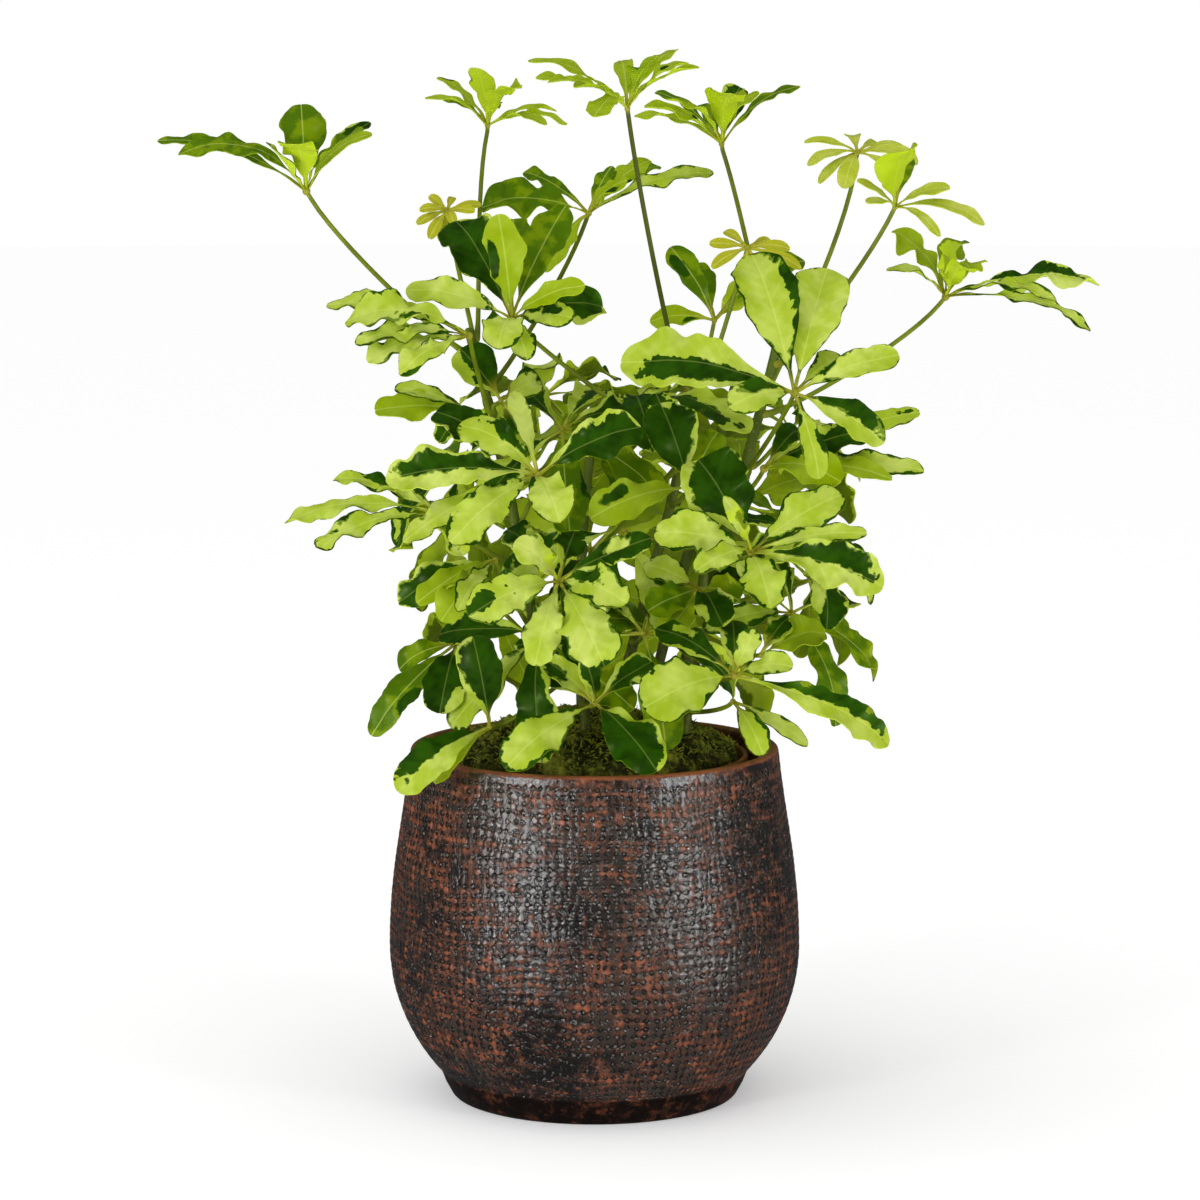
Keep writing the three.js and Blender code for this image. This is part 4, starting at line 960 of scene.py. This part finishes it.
def add_blade(bm, layers, leaf, leaflet, number, chance, settings):
    """One leaflet: a grid laid along its arched rib, its edges folded up, waved and notched."""
    tip, width, arch, kind = leaflet
    reach = tip.length
    slim = min(width / 16, 1)
    columns = 12 if width >= 14 else 8
    rows = max(12, round(reach * MM / settings.row_length))
    finish = Finish(kind, width / 2, reach, chance)
    start = 1.2 / reach
    notch = settings.frill / MM * (0.2 + 0.8 * leaf.wave) * slim
    curl = chance.uniform(-3.5, 1.5) * slim
    for vert in bmesh.ops.create_grid(bm, x_segments=columns, y_segments=rows, size=1)["verts"]:
        across = vert.co.x
        sign = 1 if across > 0 else -1
        # The rows lie closer together towards the blunt end.
        share = start + (1 - start) * (1 - (1 - (vert.co.y + 1) / 2) ** 1.3)
        centre, side, normal, half = leaf.section(tip, width, arch, share)
        way = share * reach
        phase = WAVES * FULL_TURN * share + 0.1 * tip.x + sign
        fade = math.sin(math.pi * share)
        rise = FOLD * half + leaf.wave * WAVE_DEPTH * width * fade * math.sin(phase)
        out = half * (1 + 0.12 * leaf.wave * fade * math.cos(phase))
        if across and share > 0.2:
            cuts = noise.noise(Vector((way / 7.5, sign * 4, number * 3.1)))
            cuts += 0.4 * noise.noise(Vector((way / 3, sign * 4, number * 1.7)))
            out += notch * cuts * eased(share, 0.2, 0.5) * math.sqrt(half * 2 / width)
        ripple = noise.noise(Vector((way / 9, sign * 5, number * 2.3)))
        rise += (0.15 + leaf.wave) * 0.95 * half * ripple * eased(share, 0.15, 0.45)
        sway = 2.2 * noise.noise(Vector((way / 30, 3, number))) * eased(share, 0.1, 0.5)
        edge = min((1 - abs(across)) * out, (1 - share) * reach * 0.9 + 0.2)
        lift = rise * abs(across) ** 1.8 + curl * eased(share, 0.72, 1.0) + sway
        vert[layers["spot"]] = Vector((across * out, way, number))
        vert[layers["field"]] = finish.field(across, share, edge)
        vert[layers["tint"]] = finish.tint
        vert.co = (centre + side * (across * out) + normal * lift) * MM


def add_stalk(bm, layers, leaf, settings):
    """The stalk from inside its cane to the hub, and the small knob on it."""
    steps, sides, sunk = 14, 8, 1.8
    corners = leaf.stalk()
    points = [bezier(corners, index / steps)[0] for index in range(steps + 1)]
    points[0] = points[0] - (points[1] - points[0]).normalized() * sunk
    points.append(leaf.hub)
    base = settings.stalk_radius / MM
    radii = [base * (1.25 - 0.5 * eased(index / steps, 0, 0.25) - 0.1 * index / steps)
             for index in range(steps + 2)]
    rings = tube(bm, [point * MM for point in points], [radius * MM for radius in radii], sides)
    darkened = Vector((DARK_STALKS.get(leaf.name, 0), 0, 0))
    for index, ring in enumerate(rings):
        for vert in ring:
            vert[layers["spot"]] = Vector((index / (steps + 1), 0, 0))
            vert[layers["tint"]] = darkened
    size = min(max(0.36 * leaf.knob, 1.5), 2.2)
    knob = bmesh.ops.create_icosphere(bm, subdivisions=2, radius=size * MM,
                                      matrix=Matrix.Translation(leaf.hub * MM))["verts"]
    for vert in knob:
        vert[layers["spot"]] = Vector((1, 0, 0))


def leaf_piece(leaf, order, materials, settings):
    """A leaf as one piece: its blades given thickness, then its stalk and knob."""
    bm = bmesh.new()
    layers = {name: bm.verts.layers.float_vector.new(name) for name in ("spot", "field", "tint")}
    under = bm.verts.layers.float.new("under")
    chance = random.Random(order)
    for index, leaflet in enumerate(leaf.leaflets):
        add_blade(bm, layers, leaf, leaflet, 17.0 * order + 1.9 * index, chance, settings)
    tops = set(bm.verts)
    bmesh.ops.solidify(bm, geom=bm.faces[:], thickness=settings.blade_thickness)
    for vert in bm.verts:
        if vert not in tops:
            vert[under] = 1
    bmesh.ops.recalc_face_normals(bm, faces=bm.faces)
    blades = set(bm.faces)
    add_stalk(bm, layers, leaf, settings)
    for face in bm.faces:
        if face not in blades:
            face.material_index = 1
    slot = "young_leaf" if "young" in leaf.name else "leaf"
    piece = finished_piece("umbrella_" + leaf.name, bm, materials, leaf.node)
    piece.data.set_sharp_from_angle(angle=math.radians(60))


def grow_leaves(leaves, first, settings):
    """Makes a piece of each leaf. first is the number that starts their random draws."""
    blade = shared_material("Leaf blade", blade_material, settings)
    stalk = shared_material("Leaf stalk", stalk_material, settings)
    for order, leaf in enumerate(leaves, first):
        leaf_piece(leaf, order, [blade, stalk], settings)


class PLANT_OT_pot(bpy.types.Operator):
    """Turn the woven-print pot: up the outside from the foot, over the lip and down the inside"""

    bl_idname = "plant.pot"
    bl_label = "Pot"

    def print_weave(self, bm, radius_at, low, high, rows, s):
        """Presses the weave into the outside, with a hole at every third vert around and up. Its
        columns and rows wander a little, as hand-pressed cloth does."""
        weave = bm.verts.layers.float_vector.new("weave")
        columns = THREAD_VERTS * s.weave_columns
        cell = THREAD_VERTS * (high - low) / rows
        for vert in bm.verts:
            at = vert.co.copy()
            in_print = low - SAME_PLACE < at.z < high + SAME_PLACE
            if not in_print or at.xy.length < radius_at(at.z) - 1 * MM:
                continue
            turn = math.atan2(at.y, at.x)
            across = round(turn / FULL_TURN * columns) % THREAD_VERTS == 0
            along = round((at.z - low) / (high - low) * rows) % THREAD_VERTS == 1
            # The wall stays true at the foot and the rim, and the print fades close to them.
            free = eased(at.z, low, low + 8 * MM) * (1 - eased(at.z, high - 10 * MM, high))
            printed = eased(at.z, low, low + 2 * MM) * (1 - eased(at.z, high - 3 * MM, high))
            wander = 1.1 * noise.noise(at * 40) + 0.3 * noise.noise(at * 150)
            turn += free * wander * FULL_TURN / s.weave_columns
            shift = 1.4 * noise.noise(at * 13) + 0.5 * noise.noise(at * 50 + Vector((3, 1, 4)))
            height = at.z + free * shift * cell
            depth = s.pit_depth * eased(noise.noise(at * 170), -0.5, 0.1)
            relief = printed * (s.thread_rise * (not across) * (not along) - depth * across * along)
            relief += free * (0.35 * noise.noise(at * 22) + 0.1 * noise.noise(at * 150)) * MM
            reach = radius_at(height) + relief
            vert.co = Vector((reach * math.cos(turn), reach * math.sin(turn), height))
            vert[weave] = Vector((across, along, 0)) * printed

    def execute(self, context):
        s = context.scene.plant_pot
        foot, belly, rim, wall = s.foot_radius, s.belly_radius, s.rim_radius, s.wall
        lip, floor = wall / 2, 9 * MM
        top = s.height - lip
        shoulder_out = rim + 3.2 * MM
        thicker = wall + 0.6 * MM
        belly_in, shoulder_in = belly - thicker, shoulder_out - thicker
        # The heights that pull the side's curves out to the belly and in at the shoulder.
        low_pull, high_pull, shoulder = 47 * MM, 110 * MM, 145 * MM
        kink = (foot + 2.2 * MM, FOOT_TOP)
        corner = (kink, (foot + 13 * MM, 25 * MM), (belly, low_pull), (belly, s.belly_height))
        side = (corner[3], (belly, high_pull), (shoulder_out, shoulder), (rim, top))
        over = (side[3], (rim, top + 0.7 * lip), (rim - 0.3 * lip, s.height),
                (rim - lip, s.height))
        down = (over[3], (rim - 1.7 * lip, s.height), (rim - wall, top + 0.7 * lip),
                (rim - wall, top))
        inside = (down[3], (shoulder_in, shoulder), (belly_in, high_pull),
                  (belly_in, s.belly_height))
        bowl = (inside[3], (belly_in, 46 * MM), (foot + 4 * MM, floor + 8 * MM),
                (foot - 8 * MM, floor))
        radius_at = radius_by_height(curve_profile((corner, side), 60))
        rows = round(THREAD_VERTS * (top - FOOT_TOP) / s.weave_pitch)
        heights = [FOOT_TOP + (top - FOOT_TOP) * index / rows for index in range(rows + 1)]
        outside = [(radius_at(height), height) for height in heights]
        well = curve_profile((over, down, inside, bowl), 9)
        stand = foot - 4 * MM
        profile = [
            (0, 0), (stand * 0.5, 0), (stand - 1.5 * MM, 0), (stand - 0.5 * MM, 0.4 * MM),
            (stand + 0.5 * MM, 1.4 * MM), (foot - 0.4 * MM, 7 * MM),
            (kink[0] - 0.5 * MM, FOOT_TOP - 1.2 * MM), *outside, *well, (foot * 0.5, floor),
            (0, floor),
        ]
        bm = bmesh.new()
        spun(bm, profile, THREAD_VERTS * s.weave_columns)
        self.print_weave(bm, radius_at, FOOT_TOP, top, rows, s)
        material = shared_material("Glazed pot", pot_material, s)
        finished_piece("woven_pot", bm, [material], "pot")
        return {"FINISHED"}


class PLANT_OT_nursery_pot(bpy.types.Operator):
    """Turn the thin nursery pot with its rolled rim"""

    bl_idname = "plant.nursery_pot"
    bl_label = "Nursery pot"

    def execute(self, context):
        # Points of (radius, height) in millimetres.
        floor, rim = 9.3, 173.3
        outside = [
            (0, floor), (50, floor), (55.5, floor), (56, floor + 0.5), (65.5, 80), (75.5, rim - 8),
            (76.6, rim - 8), (77, rim - 7.4), (77, rim - 0.6), (76.4, rim),
        ]
        inside = [
            (75, rim), (74.4, rim - 0.6), (73.9, rim - 8), (64, 80), (54.4, floor + 2.4),
            (54, floor + 2), (0, floor + 2),
        ]
        bm = bmesh.new()
        spun(bm, [(radius * MM, height * MM) for radius, height in outside + inside], 120)
        material = shared_material("Nursery plastic", plastic_material, context.scene.plant_ground)
        finished_piece("liner_pot", bm, [material], "nursery_pot")
        return {"FINISHED"}


class PLANT_OT_soil(bpy.types.Operator):
    """Give the soil its crumbly finish"""

    bl_idname = "plant.soil"
    bl_label = "Soil"

    def execute(self, context):
        material = shared_material("Soil", soil_material, context.scene.plant_ground)
        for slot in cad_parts["soil"].material_slots:
            slot.material = material
        return {"FINISHED"}


class PLANT_OT_moss(bpy.types.Operator):
    """Raise the moss cushion with its clumps and loose strands"""

    bl_idname = "plant.moss"
    bl_label = "Moss"

    seed = 11
    strand_kinds = 12
    grid = 230

    def height(self, x, y, s):
        """The cushion's top at a point: the solid's low lumpy dome."""
        share = min(math.hypot(x, y) / MOSS_EDGE, 1)
        turn = math.atan2(y, x)
        lumps = math.sin(5 * turn + 1) * math.sin(7 * share)
        lumps += 0.7 * math.sin(9 * turn + 9 * share)
        return MOSS_EDGE_TOP + s.crown * (1 - share * share) ** 0.7 + 2.2 * MM * lumps * share

    def clumps(self, spot):
        """How far the clumps stand out at a point, from 0 to 1."""
        near = noise.voronoi(spot * 70)[0][0]
        small = noise.voronoi(spot * 260)[0][0]
        crumbs = 0.5 + 0.5 * noise.noise(spot * 520)
        return max(0, 1 - 1.2 * near) * 0.6 + max(0, 1 - small) * 0.28 + crumbs * 0.2

    def strand(self, chance):
        """One curled strand, 1 mm long for each unit that it is scaled by, as a mesh."""
        bm = bmesh.new()
        spot_layer = bm.verts.layers.float_vector.new("spot")
        bend = Vector((chance.gauss(0, 0.35), chance.gauss(0, 0.35), -0.1))
        points = [Vector((0, 0, 0)), Vector((0, 0, 0.5)), Vector((0, 0, 1)) + bend]
        thick = chance.uniform(0.08, 0.14)
        for level, ring in enumerate(tube(bm, points, [thick, thick * 1.1, thick * 0.45], 4)):
            for vert in ring:
                # Rings higher up a strand stand out more, and the moss material paints them paler:
                # partly tips, partly painted highlight.
                vert[spot_layer] = Vector((0.35 + 0.35 * level + chance.uniform(-0.2, 0.2), 0, 0))
        return mesh_from("strand", bm)

    def scatter(self, bm, s):
        """Stands loose strands in the cushion, each a turned and scaled copy of one of a few."""
        chance = random.Random(self.seed)
        strands = [self.strand(chance) for kind in range(self.strand_kinds)]
        for index in range(s.strands):
            turn = chance.uniform(0, FULL_TURN)
            way = MOSS_EDGE * 0.97 * math.sqrt(chance.random())
            x, y = way * math.cos(turn), way * math.sin(turn)
            foot = Matrix.Translation((x, y, self.height(x, y, s) - 1 * MM))
            lean = Vector((chance.gauss(0, 1), chance.gauss(0, 1), 0.5)).to_track_quat("Z", "Y")
            place = foot @ lean.to_matrix().to_4x4() @ Matrix.Scale(chance.uniform(2, 4) * MM, 4)
            copy = strands[index % len(strands)]
            copy.transform(place)
            bm.from_mesh(copy)
            copy.transform(place.inverted())
        for strand in strands:
            bpy.data.meshes.remove(strand)

    def execute(self, context):
        s = context.scene.plant_ground
        bm = bmesh.new()
        spot_layer = bm.verts.layers.float_vector.new("spot")
        bmesh.ops.create_grid(bm, x_segments=self.grid, y_segments=self.grid, size=1)
        rim = [edge for edge in bm.edges if edge.is_boundary]
        for vert in bm.verts:
            x, y = vert.co.x, vert.co.y
            # The square grid is drawn in to a disc.
            vert.co.x = x * math.sqrt(1 - y * y / 2) * MOSS_EDGE
            vert.co.y = y * math.sqrt(1 - x * x / 2) * MOSS_EDGE
        skirt = bmesh.ops.extrude_edge_only(bm, edges=rim)["geom"]
        base = [item for item in skirt if isinstance(item, bmesh.types.BMVert)]
        for vert in bm.verts:
            spot = Vector((vert.co.x, vert.co.y, 0))
            proud = self.clumps(spot)
            share = min(spot.length / MOSS_EDGE, 1)
            vert.co.z = self.height(vert.co.x, vert.co.y, s) - 1.5 * MM
            vert.co.z += s.clump * (proud - 0.35)
            # The cushion rounds off just inside the nursery pot.
            vert.co.z -= 7 * MM * eased(share, 0.93, 1.0)
            vert[spot_layer] = Vector((proud, 0, 0))
        for vert in base:
            vert.co.z = MOSS_BASE
        loop = [edge for edge in bm.edges if edge.is_boundary]
        bmesh.ops.holes_fill(bm, edges=loop, sides=0)
        bmesh.ops.triangulate(bm, faces=[face for face in bm.faces if len(face.verts) > 4])
        bmesh.ops.recalc_face_normals(bm, faces=bm.faces)
        self.scatter(bm, s)
        material = shared_material("Moss", moss_material, s)
        finished_piece("moss_cushion", bm, [material], "moss")
        return {"FINISHED"}


class PLANT_OT_canes(bpy.types.Operator):
    """Grow the woody canes with the rings that old leaves left"""

    bl_idname = "plant.canes"
    bl_label = "Canes"

    def execute(self, context):
        material = shared_material("Bark", bark_material, context.scene.plant_foliage)
        for order, (name, corners) in enumerate(CANES.items()):
            corners = [Vector(corner) * MM for corner in corners]
            points, radii = [], []
            for index in range(CANE_STEPS + 1):
                share = index / CANE_STEPS
                ring = abs(((share * 13 + 0.3 * math.sin(9 * share + order)) % 1) - 0.5)
                swell = 0.35 * (1 - eased(ring, 0.0, 0.14))
                points.append(bezier(corners, share)[0])
                radii.append((CANE_RADIUS + 0.25 - 0.45 * share + swell) * MM)
            top, last = points[-1], (points[-1] - points[-2]).normalized()
            for lift, grow in ((1.2, 0.8), (2.0, 0.45)):
                points.append(top + last * lift * MM)
                radii.append(radii[CANE_STEPS] * grow)
            bm = bmesh.new()
            tube(bm, points, radii, 16)
            for vert in bm.verts:
                rough = noise.noise(Vector((vert.co.x * 500, vert.co.y * 500, vert.co.z * 120)))
                vert.co += Vector((1, 1, 0)) * (0.1 * rough * MM)
            bmesh.ops.recalc_face_normals(bm, faces=bm.faces)
            finished_piece("woody_cane_" + name, bm, [material], "cane_" + name)
        return {"FINISHED"}


class PLANT_OT_drawn_leaves(bpy.types.Operator):
    """Grow the leaves of the crown that are drawn leaflet by leaflet"""

    bl_idname = "plant.drawn_leaves"
    bl_label = "Leaves of the crown"

    def execute(self, context):
        grow_leaves(drawn_leaves(), 1, context.scene.plant_foliage)
        return {"FINISHED"}


class PLANT_OT_whorl_leaves(bpy.types.Operator):
    """Grow the fuller whorls inside the crown and behind it"""

    bl_idname = "plant.whorl_leaves"
    bl_label = "Leaves within and behind"

    def execute(self, context):
        grow_leaves(whorl_leaves(), 101, context.scene.plant_foliage)
        return {"FINISHED"}


class PLANT_OT_stage(bpy.types.Operator):
    """Lay the pale floor, hang the soft lights and stand the camera in front"""

    bl_idname = "plant.stage"
    bl_label = "Stage"

    def floor(self):
        bm = bmesh.new()
        bmesh.ops.create_circle(bm, cap_ends=True, segments=96, radius=9)
        mesh = mesh_from("floor", bm)
        p = Pattern("Pale floor")
        p.shade(Base_Color=(0.9, 0.9, 0.9), Roughness=0.9, Specular_IOR_Level=0.1,
                Emission_Color=(1, 1, 1), Emission_Strength=0.3)
        mesh.materials.append(p.material)
        floor = added("floor", mesh)
        floor.visible_glossy = False
        floor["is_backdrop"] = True

    def softbox(self, name, place, power):
        """An upright soft light that faces the middle of the plant."""
        lamp = bpy.data.lights.new(name, "AREA")
        lamp.shape = "RECTANGLE"
        lamp.size, lamp.size_y = 0.28, 0.55
        lamp.energy = power
        holder = added(name, lamp)
        holder.location = place
        aim = Vector((0, 0, 0.25)) - holder.location
        holder.rotation_euler = aim.to_track_quat("-Z", "Y").to_euler()

    def dome(self, strength):
        """Wide soft light from above, which isn't mirrored in the glaze."""
        lamp = bpy.data.lights.new("dome", "SUN")
        lamp.energy = strength
        lamp.angle = math.radians(100)
        holder = added("dome", lamp)
        holder.rotation_euler = (math.radians(14), math.radians(-10), 0)
        holder.visible_glossy = False

    def room(self, scene, strength):
        """A room that looks white to the camera, lights the plant with its own strength and is
        mirrored faintly in it."""
        world = bpy.data.worlds.new("Room")
        world.use_nodes = True
        nodes = world.node_tree.nodes
        seen = nodes.new("ShaderNodeLightPath")
        power = nodes.new("ShaderNodeMapRange")
        power.inputs["To Min"].default_value = strength
        power.inputs["To Max"].default_value = 1
        mirrored = nodes.new("ShaderNodeMath")
        mirrored.operation = "MULTIPLY_ADD"
        mirrored.inputs[1].default_value = -0.75 * strength
        links = world.node_tree.links
        links.new(seen.outputs["Is Camera Ray"], power.inputs["Value"])
        links.new(seen.outputs["Is Glossy Ray"], mirrored.inputs[0])
        links.new(power.outputs["Result"], mirrored.inputs[2])
        links.new(mirrored.outputs[0], nodes["Background"].inputs["Strength"])
        nodes["Background"].inputs["Color"].default_value = (1, 1, 1, 1)
        scene.world = world

    def camera(self, scene, s):
        eye = bpy.data.cameras.new("camera")
        eye.lens = s.lens
        eye.sensor_width = 36
        eye.clip_end = 60
        camera = added("camera", eye)
        camera.location = (2.75 * MM, -s.distance, s.camera_height)
        camera.rotation_euler = (math.pi / 2 - SIGHT, 0, 0)
        scene.camera = camera

    def execute(self, context):
        s = context.scene.plant_stage
        self.floor()
        self.softbox("left softbox", (-1.2, -1.3, 0.3), s.left_power)
        self.softbox("right softbox", (1.45, -1.05, 0.3), s.right_power)
        self.dome(s.dome)
        self.room(context.scene, s.room)
        self.camera(context.scene, s)
        context.scene.view_settings.view_transform = "Standard"
        return {"FINISHED"}


class PLANT_PT_panel(bpy.types.Panel):
    """Sidebar panel with every step and its settings"""

    bl_idname = "PLANT_PT_panel"
    bl_label = "Potted umbrella plant"
    bl_space_type = "VIEW_3D"
    bl_region_type = "UI"
    bl_category = "Plant"

    def draw(self, context):
        for step in STEPS:
            self.layout.operator(step.bl_idname)
        for settings in SETTINGS:
            group = getattr(context.scene, settings)
            box = self.layout.box()
            for name in group.__annotations__:
                box.prop(group, name)


STEPS = (
    PLANT_OT_stage,
    PLANT_OT_pot,
    PLANT_OT_nursery_pot,
    PLANT_OT_soil,
    PLANT_OT_moss,
    PLANT_OT_canes,
    PLANT_OT_drawn_leaves,
    PLANT_OT_whorl_leaves,
)
SETTINGS = {
    "plant_pot": PlantPotSettings,
    "plant_foliage": PlantFoliageSettings,
    "plant_ground": PlantGroundSettings,
    "plant_stage": PlantStageSettings,
}


def register():
    for made in (*SETTINGS.values(), *STEPS, PLANT_PT_panel):
        bpy.utils.register_class(made)
    for name, settings in SETTINGS.items():
        setattr(bpy.types.Scene, name, PointerProperty(type=settings))


def unregister():
    for name in SETTINGS:
        delattr(bpy.types.Scene, name)
    for made in (PLANT_PT_panel, *reversed(STEPS), *SETTINGS.values()):
        bpy.utils.unregister_class(made)


def main():
    register()
    bpy.ops.plant.stage()
    bpy.ops.plant.pot()
    bpy.ops.plant.nursery_pot()
    bpy.ops.plant.soil()
    bpy.ops.plant.moss()
    bpy.ops.plant.canes()
    bpy.ops.plant.drawn_leaves()
    bpy.ops.plant.whorl_leaves()
    sizes = {"cad": CAD_BOX, "visual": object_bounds()}
    {name: [list(corner) for corner in box] for name, box in sizes.items()}


if __name__ == "__main__":
    main()
